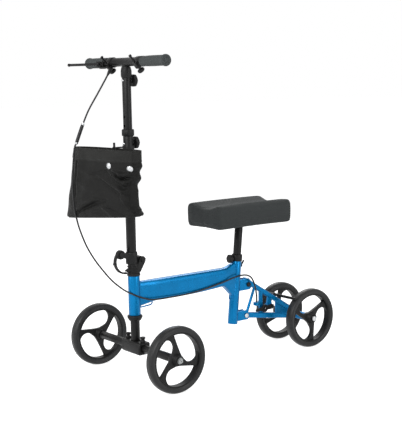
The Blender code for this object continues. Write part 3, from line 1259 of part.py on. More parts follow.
def build_cam_lever(model):
    """The quick-release lever: a round hub and a curved blade that hooks down over the catch."""
    model.body("cam_lever", (0.0, *CAM_PIVOT), "column")
    hub = rod(CAM_HUB_RADIUS, -CAM_HALF_WIDTH, CAM_HALF_WIDTH, RING_FACETS)
    pivot_frame = along((0.0, *CAM_PIVOT), (1, 0, 0))
    lever = model.piece("cam_lever", hub, "cam_lever", BLACK_PLASTIC, pivot_frame)
    outer_radius = CAM_BLADE_RADIUS + CAM_BLADE_THICKNESS / 2
    inner_radius = outer_radius - CAM_BLADE_THICKNESS
    outer = arc(CAM_BLADE_CENTRE, outer_radius, CAM_BLADE_START, CAM_BLADE_END, CAM_BLADE_POINTS)
    inner = arc(CAM_BLADE_CENTRE, inner_radius, CAM_BLADE_END, CAM_BLADE_START, CAM_BLADE_POINTS)
    model.add(lever, prism(outer + inner, 2 * CAM_HALF_WIDTH - CAM_PLAY), on_side())
    nub_reach = outer_radius - CAM_NUB_RADIUS * CAM_NUB_SINK
    nub = arc(CAM_BLADE_CENTRE, nub_reach, CAM_NUB_ANGLE, CAM_NUB_ANGLE, 2)[0]
    nub_half = CAM_HALF_WIDTH - EDGE
    model.add(lever, rod(CAM_NUB_RADIUS, -nub_half, nub_half), along((0.0, *nub), (1, 0, 0)))
    model.cut(lever, rod(CAM_PIN_RADIUS + GAP, -2 * CUT_PAST, 2 * CUT_PAST), pivot_frame)


# Column

def knob(
    model, name, body, frame, disc_radius, disc_thickness, screw_radius, screw_start, disc_start, finish,
):
    """A hand knob: a screw along the frame's Z from screw_start, with a lobed disc at its outer end."""
    middle = disc_start + disc_thickness / 2
    disc_frame = frame @ Matrix.Translation((0, 0, middle))
    item = model.piece(name, lobed_disc(disc_radius, disc_thickness), body, finish, disc_frame)
    model.add(item, rod(screw_radius, screw_start, middle), frame)
    return item


def clamp_station(model, tube, z, tube_radius, inner_radius, label, parent):
    """A welded nut behind the tube with its clamp knob, and a snap button's hole in front."""
    outward = along((0.0, 0.0, z), (0.0, 1.0, 0.0))
    boss_end = tube_radius + CLAMP_BOSS_HEIGHT
    model.add(tube, rod(CLAMP_BOSS_RADIUS, tube_radius - EDGE, boss_end), outward)
    model.cut(tube, rod(CLAMP_SCREW_RADIUS + GAP, 0.0, boss_end + CUT_PAST), outward)
    body = label + "_knob"
    model.body(body, (0.0, boss_end, z), parent)
    knob(
        model, label + "_column_knob", body, outward, COLUMN_KNOB_RADIUS, COLUMN_KNOB_THICKNESS,
        CLAMP_SCREW_RADIUS, inner_radius + GAP, max(boss_end, COLLAR_RADIUS) + KNOB_CLEARANCE, BLACK_PLASTIC,
    )


def snap_button(model, tube, z, tube_radius, inner_radius, label, parent):
    """A sprung button that stands through the front of the outer tube, just clear of the inner one."""
    forward = along((0.0, 0.0, z), (0.0, -1.0, 0.0))
    model.cut(tube, rod(SNAP_BUTTON_RADIUS + SLIDING_FIT, 0.0, tube_radius + CUT_PAST), forward)
    body = label + "_button"
    model.body(body, (0.0, -tube_radius, z), parent)
    outer = tube_radius + SNAP_BUTTON_PROUD
    profile = [
        (0.0, inner_radius + GAP), (SNAP_BUTTON_RADIUS, inner_radius + GAP),
        (SNAP_BUTTON_RADIUS, outer - SOFT_EDGE), (SNAP_BUTTON_RADIUS * 0.8, outer - SNAP_BUTTON_CROWN),
        (SNAP_BUTTON_RADIUS * 0.4, outer), (0.0, outer),
    ]
    model.piece(label + "_snap_button", turned(profile, PIN_FACETS), body, BRIGHT_STEEL, forward)


def adjusting_holes(model, tube, button_z, above, below):
    """Holes in the front of an inner tube, at whole pitches above and below its snap button."""
    for index in range(-below, above + 1):
        place = along((0.0, 0.0, button_z + index * ADJUSTING_PITCH), (0.0, -1.0, 0.0))
        model.cut(tube, rod(ADJUSTING_HOLE_RADIUS, 0.0, 2 * CUT_PAST, HOLE_FACETS), place)


def build_lower_column(model):
    tube = model.piece(
        "lower_column_tube", pipe(LOWER_TUBE_RADIUS, LOWER_TUBE_INNER, LOWER_TUBE_BOTTOM, LOWER_TUBE_TOP),
        "column", BLACK_PAINT,
    )
    clamp_station(model, tube, LOWER_KNOB_Z, LOWER_TUBE_RADIUS, UPPER_TUBE_RADIUS, "lower", "column")
    snap_button(model, tube, LOWER_BUTTON_Z, LOWER_TUBE_RADIUS, UPPER_TUBE_RADIUS, "lower", "column")
    low = LOWER_TUBE_TOP + GAP
    profile = [
        (LOWER_TUBE_INNER, low), (COLLAR_RADIUS - BEVEL, low), (COLLAR_RADIUS, low + SOFT_EDGE),
        (COLLAR_RADIUS, low + COLLAR_HEIGHT - 3 * EDGE), (COLLAR_RADIUS - SOFT_EDGE, low + COLLAR_HEIGHT),
        (LOWER_TUBE_INNER, low + COLLAR_HEIGHT),
    ]
    model.piece("lower_collar", turned(profile, TUBE_FACETS, True), "column", BLACK_PLASTIC)


def build_upper_column(model):
    model.body("mast", (0.0, 0.0, LOWER_TUBE_TOP), "column")
    tube = model.piece(
        "upper_column_tube", pipe(UPPER_TUBE_RADIUS, UPPER_TUBE_INNER, UPPER_TUBE_BOTTOM, UPPER_TUBE_TOP),
        "mast", BLACK_PAINT,
    )
    adjusting_holes(model, tube, LOWER_BUTTON_Z, HOLES_BELOW_COUNT, HOLES_ABOVE_COUNT)
    clamp_station(model, tube, UPPER_KNOB_Z, UPPER_TUBE_RADIUS, STEM_RADIUS, "upper", "mast")
    snap_button(model, tube, UPPER_BUTTON_Z, UPPER_TUBE_RADIUS, STEM_RADIUS, "upper", "mast")
    skirt = UPPER_KNOB_Z + CLAMP_BOSS_RADIUS + EDGE
    top = SOCKET_UNDERSIDE - GAP
    bulge = TOP_COLLAR_RADIUS
    bore = UPPER_TUBE_RADIUS + GAP
    profile = [(bore, skirt), (bulge - SOFT_EDGE, skirt), (bulge, skirt + TOP_COLLAR_FLARE)]
    profile += [(bulge - draw, top - drop) for draw, drop in TOP_COLLAR_SHOULDER]
    profile += [
        (UPPER_TUBE_INNER, top),
        (UPPER_TUBE_INNER, UPPER_TUBE_TOP + GAP), (bore, UPPER_TUBE_TOP + GAP),
    ]
    model.piece("top_collar", turned(profile, TUBE_FACETS, True), "mast", BLACK_PLASTIC)


# Handlebar

def build_t_head(model):
    model.body("bars", (0.0, 0.0, UPPER_TUBE_TOP), "mast")
    across = (1.0, 0.0, 0.0)
    middle = (0.0, 0.0, BAR_HEIGHT)
    half = SOCKET_LENGTH / 2
    full = half + BAR_CLAMP_LENGTH
    profile = [
        (0.0, -full), (BAR_CLAMP_RADIUS - EDGE, -full), (BAR_CLAMP_RADIUS, -full + EDGE),
        (BAR_CLAMP_RADIUS, -half), (SOCKET_RADIUS, -half + EDGE), (SOCKET_RADIUS, half - EDGE),
        (BAR_CLAMP_RADIUS, half), (BAR_CLAMP_RADIUS, full - EDGE), (BAR_CLAMP_RADIUS - EDGE, full),
        (0.0, full),
    ]
    head = model.piece("t_head", turned(profile, RING_FACETS), "bars", BLACK_PAINT, along(middle, across))
    stem_low = SOCKET_UNDERSIDE - STEM_LENGTH + STEM_SINK
    model.add(head, rod(STEM_RADIUS, stem_low, BAR_HEIGHT - BAR_BORE * 0.5, TUBE_FACETS))
    for side in (1, -1):
        ear = block(BAR_CLAMP_LENGTH - 2 * SOFT_EDGE, CLAMP_EAR_WIDTH, CLAMP_EAR_HEIGHT, BEVEL)
        place = along(clamp_foot(side) - CLAMP_DIRECTION * EDGE, CLAMP_DIRECTION)
        model.add(head, ear, place)
    for side in (1, -1):
        hole = rod(BAR_CLAMP_BOLT_RADIUS + GAP, -PIN_CUT_HALF, PIN_CUT_HALF)
        model.cut(head, hole, along(clamp_foot(side), CLAMP_DIRECTION))
    stem_bore_top = BAR_HEIGHT - BAR_BORE - STEM_CROWN
    model.cut(head, rod(STEM_RADIUS - STEM_WALL, stem_low - CUT_PAST, stem_bore_top, RING_FACETS))
    adjusting_holes(model, head, UPPER_BUTTON_Z, 0, STEM_HOLES_ABOVE_COUNT)
    model.cut(head, rod(BAR_BORE, -full - CUT_PAST, full + CUT_PAST, RING_FACETS), along(middle, across))
    bar = pipe(BAR_RADIUS, BAR_RADIUS - BAR_WALL, -BAR_LENGTH / 2, BAR_LENGTH / 2, RING_FACETS)
    model.piece("handlebar", bar, "bars", BLACK_PAINT, along(middle, across))


def clamp_foot(side):
    """The point of a clamp bolt's line that is nearest the bar."""
    return Vector((side * BAR_CLAMP_X, 0.0, BAR_HEIGHT)) + CLAMP_NORMAL * BAR_CLAMP_BOLT_OFFSET


def build_bar_knobs(model):
    """A long clamp bolt at each side, with its head up in front and its knob down behind."""
    for label, side in (("left", 1), ("right", -1)):
        foot = clamp_foot(side)
        body = label + "_bar_knob"
        model.body(body, foot, "bars")
        frame = along(foot, CLAMP_DIRECTION)
        item = knob(
            model, label + "_bar_knob", body, frame, BAR_KNOB_RADIUS, BAR_KNOB_THICKNESS,
            BAR_CLAMP_BOLT_RADIUS, -BAR_BOLT_REACH + EDGE, BAR_CLAMP_RADIUS + GAP, BLACK_PLASTIC,
        )
        tip = -BAR_BOLT_REACH
        foot = tip + BAR_BOLT_HEAD_LENGTH
        head = turned([
            (0.0, tip), (BAR_BOLT_HEAD_RADIUS - EDGE, tip), (BAR_BOLT_HEAD_RADIUS, tip + EDGE),
            (BAR_BOLT_HEAD_RADIUS, foot), (0.0, foot),
        ], PIN_FACETS)
        model.add(item, head, frame)


def build_grips(model):
    cap = BAR_LENGTH / 2 + GAP
    end = cap + GRIP_END_THICKNESS
    for label, side, length in (("left", 1, LEFT_GRIP_LENGTH), ("right", -1, RIGHT_GRIP_LENGTH)):
        start = end - length
        profile = [
            (0.0, cap), (BAR_BORE, cap), (BAR_BORE, start), (GRIP_RADIUS - BEVEL, start),
            (GRIP_RADIUS, start + SOFT_EDGE), (GRIP_RADIUS, end - GRIP_FLANGE_LENGTH - SOFT_EDGE),
            (GRIP_FLANGE_RADIUS, end - GRIP_FLANGE_LENGTH),
            (GRIP_FLANGE_RADIUS, end - SOFT_EDGE), (GRIP_FLANGE_RADIUS - SOFT_EDGE, end), (0.0, end),
        ]
        frame = along((0.0, 0.0, BAR_HEIGHT), (side, 0.0, 0.0))
        model.piece(label + "_grip", turned(profile), "bars", GRIP_FOAM, frame)


def build_perch(model):
    """The brake lever's perch: a band on the bar, two cheeks with the pivot pin, and the cable's outlet."""
    across = (1.0, 0.0, 0.0)
    centre = Vector((LEVER_X, 0.0, BAR_HEIGHT))
    band = pipe(PERCH_RADIUS, BAR_BORE, -PERCH_LENGTH / 2, PERCH_LENGTH / 2, RING_FACETS)
    perch = model.piece("lever_perch", band, "bars", BLACK_PLASTIC, along(centre, across))
    root_y = -LEVER_PIVOT_FORWARD + PERCH_ROOT_BACK
    cheek = LEVER_HEIGHT / 2 + LUG_PLAY
    arm_top = LEVER_PIVOT.z - cheek - PERCH_BLOCK_OVER_CHEEK
    arm_low = arm_top - OUTLET_ARM_THICKNESS
    block_low = arm_low - PERCH_BLOCK_UNDER_ARM
    block_high = LEVER_PIVOT.z + cheek + PERCH_BLOCK_OVER_CHEEK
    body = block(PERCH_LENGTH, PERCH_BLOCK_DEPTH, block_high - block_low, EDGE)
    model.add(perch, body, at(LEVER_X, root_y, (block_low + block_high) / 2))
    pivot_y = -LEVER_PIVOT_FORWARD
    outline = link_outline((LEVER_X, root_y), PERCH_CHEEK_RADII[0], (LEVER_X, pivot_y), PERCH_CHEEK_RADII[1])
    for side in (1, -1):
        cheek_z = LEVER_PIVOT.z + side * (cheek + PERCH_CHEEK_THICKNESS / 2)
        model.add(perch, prism(outline, PERCH_CHEEK_THICKNESS), at(0.0, 0.0, cheek_z))
    model.add(perch, rod(LEVER_PIN_RADIUS, -cheek - SOFT_EDGE, cheek + SOFT_EDGE), at(*LEVER_PIVOT))
    outlet = Vector(CABLE_ROUTE[0]) - COLUMN_OFFSET
    cable_run = (Vector(CABLE_ROUTE[1]) - Vector(CABLE_ROUTE[0])).normalized()
    elbow = outlet - cable_run * OUTLET_LENGTH
    model.add(perch, prism(outlet_arm(elbow), OUTLET_ARM_THICKNESS), at(0.0, 0.0, (arm_low + arm_top) / 2))
    model.add(perch, rod(OUTLET_RADIUS, -OUTLET_BACK, OUTLET_LENGTH - GAP / 2), along(elbow, cable_run))
    model.cut(perch, rod(BAR_BORE, -PERCH_LENGTH, PERCH_LENGTH, RING_FACETS), along(centre, across))


def outlet_arm(elbow):
    """The flat arm from the perch past the clamp's ear to the cable's outlet, drawn in X and Y."""
    start = LEVER_X - OUTLET_ARM_INSET
    outline = [(start, OUTLET_ARM_FRONT), (start, OUTLET_ARM_REAR), (elbow.x - 0.0070, OUTLET_ARM_REAR)]
    outline += [(elbow.x + x, elbow.y + y) for x, y in OUTLET_ARM_TIP]
    outline.append((elbow.x + 0.0030, OUTLET_ARM_FRONT))
    return outline


def build_brake_lever(model):
    """The lever's blade runs outward from its pivot and ends in a ball."""
    model.body("brake_lever", LEVER_PIVOT, "bars")
    hub = rod(LEVER_HUB_RADIUS, -LEVER_HEIGHT / 2, LEVER_HEIGHT / 2, RING_FACETS)
    lever = model.piece("brake_lever", hub, "brake_lever", BLACK_PAINT, at(*LEVER_PIVOT))
    outward = Vector((-math.cos(LEVER_ANGLE), -math.sin(LEVER_ANGLE)))
    tip = LEVER_PIVOT.xy + outward * LEVER_LENGTH
    blade = link_outline(LEVER_PIVOT.xy, LEVER_ROOT_RADIUS, tip, LEVER_THICKNESS / 2)
    model.add(lever, prism(blade, LEVER_HEIGHT - LEVER_STEP), at(0.0, 0.0, LEVER_PIVOT.z))
    ball = bmesh.new()
    bmesh.ops.create_icosphere(ball, subdivisions=2, radius=LEVER_BALL_RADIUS)
    model.add(lever, ball, at(tip.x, tip.y, LEVER_PIVOT.z))
    model.cut(lever, rod(LEVER_PIN_RADIUS + GAP, -CUT_PAST, CUT_PAST), at(*LEVER_PIVOT))


# Seat

def build_seat(model):
    model.body("seat", SEAT_BASE + SEAT_AXIS * SEAT_TUBE_LENGTH, "frame")
    post_low = SEAT_TUBE_LENGTH - SEAT_POST_INSERTION
    plate_low = PAD_BOTTOM - GAP - PAD_PLATE_THICKNESS
    post_top = plate_low - GAP
    post_high = (post_top - SEAT_TUBE_FOOT[1]) / math.cos(SEAT_LEAN) + CUT_PAST
    seat_frame = along(SEAT_BASE, SEAT_AXIS)
    tube = pipe(SEAT_POST_RADIUS, SEAT_POST_RADIUS - SEAT_POST_WALL, post_low, post_high)
    post = model.piece("seat_post", tube, "seat", BLACK_PAINT, seat_frame)
    post_y = seat_axis_y(post_top)
    trimmer = block(POST_TRIM_SIZE, POST_TRIM_SIZE, POST_TRIM_SIZE)
    model.cut(post, trimmer, at(0.0, post_y, post_top + POST_TRIM_SIZE / 2))
    for index in range(SEAT_HOLE_COUNT):
        hole = rod(SEAT_HOLE_RADIUS, 0.0, 2 * CUT_PAST, HOLE_FACETS)
        along_post = SEAT_TUBE_LENGTH + SEAT_FIRST_HOLE + index * SEAT_HOLE_PITCH
        model.cut(post, hole, seat_side_frame(along_post, 1))
    plate = block(PAD_PLATE_SIZE[0], PAD_PLATE_SIZE[1], PAD_PLATE_THICKNESS)
    pad_y = post_y + PAD_SHIFT
    model.piece("pad_plate", plate, "seat", BLACK_PAINT, at(0.0, pad_y, plate_low + PAD_PLATE_THICKNESS / 2))
    model.piece("pad", pad_shape(), "seat", PAD_CLOTH, at(0.0, pad_y, PAD_BOTTOM))
    build_seat_collar(model)
    build_seat_pin(model)


def build_seat_collar(model):
    low = SEAT_TUBE_LENGTH + GAP
    high = low + SEAT_COLLAR_LENGTH
    profile = [
        (SEAT_TUBE_INNER, low), (SEAT_COLLAR_RADIUS - EDGE, low), (SEAT_COLLAR_RADIUS, low + SOFT_EDGE),
        (SEAT_COLLAR_RADIUS, high - 3 * EDGE), (SEAT_COLLAR_RADIUS - SOFT_EDGE, high),
        (SEAT_TUBE_INNER, high),
    ]
    ring = turned(profile, TUBE_FACETS, True)
    collar = model.piece("seat_collar", ring, "frame", BLACK_PLASTIC, along(SEAT_BASE, SEAT_AXIS))
    forward = seat_side_frame(SEAT_KNOB_S, -1)
    boss_end = SEAT_COLLAR_RADIUS + SEAT_BOSS_HEIGHT
    model.add(collar, rod(SEAT_BOSS_RADIUS, SEAT_COLLAR_RADIUS - BEVEL, boss_end), forward)
    model.cut(collar, rod(CLAMP_SCREW_RADIUS + GAP, 0.0, boss_end + CUT_PAST), forward)
    model.body("seat_knob", forward.translation, "frame")
    knob(
        model, "seat_knob", "seat_knob", forward, SEAT_KNOB_RADIUS, SEAT_KNOB_THICKNESS, CLAMP_SCREW_RADIUS,
        SEAT_POST_RADIUS + GAP, boss_end + KNOB_CLEARANCE, BLACK_PLASTIC,
    )


def build_seat_pin(model):
    """The sprung pin behind the seat tube, with the small lever that pulls it."""
    frame = seat_side_frame(SEAT_TUBE_LENGTH - SEAT_PIN_DROP, 1)
    model.body("seat_pin", frame.translation, "frame")
    outer = SEAT_TUBE_RADIUS + GAP
    profile = [
        (0.0, SEAT_POST_RADIUS + GAP), (SEAT_PIN_RADIUS, SEAT_POST_RADIUS + GAP), (SEAT_PIN_RADIUS, outer),
        (SEAT_PIN_COLLAR, outer), (SEAT_PIN_COLLAR, outer + SEAT_PIN_COLLAR), (0.0, outer + SEAT_PIN_COLLAR),
    ]
    pin = model.piece("seat_pin", turned(profile, PIN_FACETS), "seat_pin", BLACK_PLASTIC, frame)
    root = frame @ Vector((0.0, 0.0, outer + SEAT_PIN_BLADE[1]))
    rise = Vector((0.0, math.sin(SEAT_PIN_BLADE_ANGLE), math.cos(SEAT_PIN_BLADE_ANGLE)))
    model.add(pin, block(*SEAT_PIN_BLADE), along(root + rise * SEAT_PIN_BLADE_MIDDLE, rise))


def pad_section():
    """The pad's closed section in X and Z: rounded bottom edges, drawn-in sides and a trough on top."""
    half = PAD_WIDTH / 2
    top = PAD_EDGE_HEIGHT
    corner = PAD_CORNER_RADIUS
    foot = PAD_FOOT_RADIUS
    side = arc((half - foot, foot), foot, math.radians(-90), 0.0, 4)
    side.append((half - PAD_SIDE_DRAW, top * PAD_WAIST_SHARE))
    side += arc((half - corner, top - corner), corner, math.radians(8), math.radians(98), 6)
    crown = []
    for step in range(1, PAD_TROUGH_STEPS):
        x = (half - corner) * (1 - 2 * step / PAD_TROUGH_STEPS)
        dip = PAD_TROUGH_DEPTH * math.cos(math.pi / 2 * x / (half - corner)) ** PAD_TROUGH_POWER
        crown.append((x, top - dip))
    return side + crown + [(-x, z) for x, z in reversed(side)]


def pad_shape():
    """The cushion: a troughed section swept along Y, drawn in at its ends."""
    section = pad_section()
    half = PAD_LENGTH / 2
    stations = [-half, -half + SOFT_EDGE, -half + 0.008, -half + PAD_END_REACH, -half * 0.5, 0.0]
    stations += [-y for y in reversed(stations[:-1])]
    shape = bmesh.new()
    rings = []
    for y in stations:
        to_end = (half - abs(y)) / PAD_END_REACH
        draw = 1 - PAD_END_DRAW * (1 - min(to_end, 1.0)) ** PAD_END_POWER
        lift = PAD_EDGE_HEIGHT * 0.5
        ring = []
        for x, z in section:
            height = lift + (z - lift) * draw if z > PAD_FOOT_RADIUS + 0.001 else z
            ring.append(shape.verts.new((x * draw, y, height)))
        rings.append(ring)
    for low, high in zip(rings, rings[1:]):
        bridge(shape, low, high)
    shape.faces.new(rings[0][::-1])
    shape.faces.new(rings[-1])
    bmesh.ops.recalc_face_normals(shape, faces=shape.faces)
    return shape


# Bag

def blend(low, high, share):
    return low + (high - low) * share


def bag_ring(share, tuck, inset, floor):
    """The bag's outline at a share of its height. The tuck draws the left end in, inset is the wall."""
    half_x = blend(BAG_BOTTOM_HALF[0], BAG_TOP_HALF[0], share) - inset
    half_y = blend(BAG_BOTTOM_HALF[1], BAG_TOP_HALF[1], share) - inset
    middle_x = blend(BAG_BOTTOM_MIDDLE[0], BAG_TOP_MIDDLE[0], share)
    middle_y = blend(BAG_BOTTOM_MIDDLE[1], BAG_TOP_MIDDLE[1], share)
    skew = blend(BAG_SKEW[0], BAG_SKEW[1], share)
    power = blend(BAG_CORNER_POWER[0], BAG_CORNER_POWER[1], share)
    points = []
    for step in range(BAG_RING_POINTS):
        angle = 2 * math.pi * (step + 0.5) / BAG_RING_POINTS
        away = half_x * rounded(math.cos(angle), power)
        away -= tuck * smooth_step(away / half_x)
        x = middle_x + away
        y = middle_y + skew * away + half_y * rounded(math.sin(angle), power)
        low = BAG_BOTTOM + BAG_BOTTOM_TILT * away + floor
        high = BAG_TOP + BAG_TOP_TILT * away
        points.append((x, y, blend(low, high, share)))
    return points


def bag_shape():
    """A bag with one open top: an outer skin, an inner skin and a rim between them."""
    shape = bmesh.new()
    outer = []
    inner = []
    for level, (share, tuck) in enumerate(zip(BAG_LEVELS, BAG_NEAR_TUCK)):
        shrink = BAG_BASE_SHRINK if level == 0 else 0.0
        outer.append([shape.verts.new(point) for point in bag_ring(share, tuck, shrink, 0.0)])
        inner.append([shape.verts.new(point) for point in bag_ring(share, tuck, shrink + BAG_WALL, BAG_WALL)])
    for skin in (outer, inner):
        for low, high in zip(skin, skin[1:]):
            bridge(shape, low, high)
    bridge(shape, outer[-1], inner[-1])
    shape.faces.new(outer[0])
    shape.faces.new(inner[0])
    bmesh.ops.recalc_face_normals(shape, faces=shape.faces)
    bmesh.ops.triangulate(shape, faces=shape.faces)
    return shape


def build_bag(model):
    model.piece("bag", bag_shape(), "column", BAG_NYLON)
    band_top = LOWER_BUTTON_Z - SNAP_BUTTON_RADIUS - BRACKET_DROP
    band = pipe(BRACKET_BAND_RADIUS, LOWER_TUBE_RADIUS + GAP, band_top - BRACKET_BAND_HEIGHT, band_top)
    bracket = model.piece("bag_bracket", band, "column", BLACK_PLASTIC)
    arm_z = BAG_TOP + GAP + BRACKET_ARM_THICKNESS / 2 + abs(BAG_TOP_TILT) * BRACKET_ARM_WIDTH
    start = -LOWER_TUBE_RADIUS - 0.001
    arm = block(BRACKET_ARM_WIDTH, BRACKET_ARM_LENGTH + start, BRACKET_ARM_THICKNESS)
    model.add(bracket, arm, at(0.0, (start - BRACKET_ARM_LENGTH) / 2, arm_z))
    hook = block(BRACKET_ARM_WIDTH * 0.5, BRACKET_ARM_THICKNESS, BRACKET_HOOK_RISE)
    hook_z = arm_z + BRACKET_HOOK_RISE / 2 - BRACKET_ARM_THICKNESS / 2 + 0.0005
    model.add(bracket, hook, at(0.0, -BRACKET_ARM_LENGTH + BRACKET_ARM_THICKNESS / 2 + 0.0005, hook_z))
    model.cut(bracket, rod(LOWER_TUBE_RADIUS + GAP, LOWER_TUBE_BOTTOM, LOWER_TUBE_TOP, TUBE_FACETS))


# Whole model

def footprint_middle():
    """Half way between the foremost point, which is on the cable, and the rear tyres."""
    front = min(point.y for point in smooth_route(CABLE_ROUTE, CABLE_STEPS)) - CABLE_RADIUS
    return (front + WHEELBASE + WHEEL_RADIUS) / 2


clear_scene()
BLUE_PAINT = make_material("blue_paint", (0.0, 0.19, 0.52), 0.35, 0.2)
BLACK_PAINT = make_material("black_paint", (0.018, 0.019, 0.020), 0.45, 0.1)
BLACK_PLASTIC = make_material("black_plastic", (0.016, 0.017, 0.017), 0.5)
TYRE_RUBBER = make_material("tyre_rubber", (0.035, 0.037, 0.038), 0.45)
GRIP_FOAM = make_material("grip_foam", (0.030, 0.034, 0.033), 0.85)
BRIGHT_STEEL = make_material("bright_steel", (0.62, 0.63, 0.64), 0.25, 1.0)
PAD_CLOTH = make_material("pad_cloth", (0.030, 0.032, 0.033), 0.9)
BAG_NYLON = make_material("bag_nylon", (0.012, 0.012, 0.013), 0.8)
CABLE_SKIN = make_material("cable_skin", (0.012, 0.013, 0.014), 0.35)

walker = Model((0.0, -footprint_middle(), 0.0))
walker.body("frame", (0.0, 0.0, 0.0))
walker.body("steering", (0.0, 0.0, HEAD_TUBE_BOTTOM), "frame")
build_wheels(walker)
build_front_axle(walker)
build_head_set(walker)
build_beam(walker)
build_seat_tube(walker)
build_rear_frame(walker)
build_brake_crank(walker)
build_fold_joint(walker)
build_lower_column(walker)
build_upper_column(walker)
build_t_head(walker)
build_bar_knobs(walker)
build_grips(walker)
build_perch(walker)
build_brake_lever(walker)
build_seat(walker)
build_bag(walker)
build_cables(walker)
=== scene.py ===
"""Looks of the knee walker: finishes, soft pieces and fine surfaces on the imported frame.

The rider faces -Y, +X is the rider's left and +Z is up. Every size is in metres.
"""

import json
import math

import bmesh
import bpy
import numpy as np
from mathutils import Matrix, Vector


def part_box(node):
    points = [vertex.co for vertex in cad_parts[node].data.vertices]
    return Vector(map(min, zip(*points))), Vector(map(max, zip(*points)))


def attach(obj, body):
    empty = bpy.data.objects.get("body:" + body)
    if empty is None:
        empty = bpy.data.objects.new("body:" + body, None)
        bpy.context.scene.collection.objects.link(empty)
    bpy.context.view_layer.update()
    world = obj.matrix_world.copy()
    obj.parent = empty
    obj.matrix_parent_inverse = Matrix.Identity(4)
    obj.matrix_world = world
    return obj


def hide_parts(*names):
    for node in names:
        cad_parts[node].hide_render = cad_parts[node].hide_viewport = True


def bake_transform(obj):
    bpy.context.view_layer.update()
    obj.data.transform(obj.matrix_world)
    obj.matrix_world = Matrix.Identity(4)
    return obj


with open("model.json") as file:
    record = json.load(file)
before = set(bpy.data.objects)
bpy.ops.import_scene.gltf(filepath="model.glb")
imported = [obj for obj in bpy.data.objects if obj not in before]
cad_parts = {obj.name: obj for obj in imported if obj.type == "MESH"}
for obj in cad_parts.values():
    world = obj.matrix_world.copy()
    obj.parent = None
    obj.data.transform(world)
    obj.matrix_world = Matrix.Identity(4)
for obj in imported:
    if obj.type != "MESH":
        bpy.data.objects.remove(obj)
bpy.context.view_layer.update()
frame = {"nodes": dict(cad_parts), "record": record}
NODES = frame["nodes"]

# Places and sizes of the frame, the same as in its CAD source
COLUMN_Y = -0.29727
STEERING_Y = -0.29177
REAR_AXLE_Y = 0.33323
SEAT_LEAN = math.radians(5.9)
SEAT_FOOT = Vector((0.0, 0.07223, 0.104))
FRONT_WHEEL_X = 0.201
REAR_WHEEL_X = 0.0735
WHEEL_RADIUS = 0.095
TYRE_WIDTH = 0.03
TYRE_DEPTH = 0.0165
HUB_LENGTH = 0.035
BAR_Z = 0.915
BAR_HALF_LENGTH = 0.1945
FIT_GAP = 0.0003


# Camera, floor and light

# Angles in radians, the focus in pixels of the photograph and the sensor in millimetres
CAMERA_PLACE = Vector((2.4778, -1.92347, 0.8602))
CAMERA_HEADING = 0.9218
CAMERA_DROP = 0.1375
CAMERA_ROLL = -0.0201
CAMERA_FOCUS = 1039.5649
CAMERA_SENSOR = 36
CAMERA_NEAREST = 0.05
PHOTO_HEIGHT = 448

# Each lamp's place, the point that it faces, its two sizes and its power
LAMPS = (
    ("key", (1.1, -2.8, 2.2), (0.0, -0.05, 0.45), (1.8, 1.8), 66),
    ("front", (-0.8, -3.0, 1.3), (0.0, 0.0, 0.45), (1.4, 1.4), 20),
    ("side", (2.9, 0.9, 1.5), (0.0, 0.0, 0.45), (1.6, 1.8), 36),
    ("back", (-1.9, 1.7, 2.2), (0.0, 0.0, 0.5), (1.6, 1.6), 30),
)
FLOOR_REACH = 30.0
FLOOR_COLOUR = (0.8, 0.8, 0.8, 1.0)
FLOOR_GLOW = 0.8
WHITE = (1.0, 1.0, 1.0, 1.0)
SKY_COLOUR = (0.97, 0.985, 1.0, 1.0)
SKY_STRENGTH = 0.3


def linked(name, data):
    """A new object, in the scene."""
    item = bpy.data.objects.new(name, data)
    bpy.context.scene.collection.objects.link(item)
    return item


def aim_camera():
    """The photograph's view, with its heading, drop and slight roll."""
    back = Vector((
        math.sin(CAMERA_HEADING) * math.cos(CAMERA_DROP),
        -math.cos(CAMERA_HEADING) * math.cos(CAMERA_DROP),
        math.sin(CAMERA_DROP),
    ))
    right = (-back).cross(Vector((0, 0, 1))).normalized()
    up = right.cross(-back)
    across = math.cos(CAMERA_ROLL) * right + math.sin(CAMERA_ROLL) * up
    upward = -math.sin(CAMERA_ROLL) * right + math.cos(CAMERA_ROLL) * up
    turn = Matrix((across, upward, back)).transposed()
    data = bpy.data.cameras.new("photo_view")
    data.sensor_width = CAMERA_SENSOR
    data.lens = CAMERA_FOCUS * CAMERA_SENSOR / PHOTO_HEIGHT
    data.clip_start = CAMERA_NEAREST
    camera = linked("photo_view", data)
    camera.matrix_world = Matrix.Translation(CAMERA_PLACE) @ turn.to_4x4()
    bpy.context.scene.camera = camera


def light_lamps():
    for name, place, target, size, power in LAMPS:
        data = bpy.data.lights.new(name, "AREA")
        data.shape = "RECTANGLE"
        data.size, data.size_y = size
        data.energy = power
        lamp = linked(name, data)
        lamp.location = place
        lamp.rotation_euler = (Vector(target) - Vector(place)).to_track_quat("-Z", "Y").to_euler()


def add_node(tree, kind, **inputs):
    """A node whose inputs are set to values or linked to sockets, with _ for a space in their names."""
    node = tree.nodes.new(kind)
    for name, value in inputs.items():
        socket = node.inputs[name.replace("_", " ")]
        if isinstance(value, bpy.types.NodeSocket):
            tree.links.new(value, socket)
        else:
            socket.default_value = value
    return node


def combined(tree, operation, *sources):
    """The result of a Math node over the sources."""
    node = add_node(tree, "ShaderNodeMath")
    node.operation = operation
    for source, socket in zip(sources, node.inputs):
        tree.links.new(source, socket)
    return node.outputs[0]


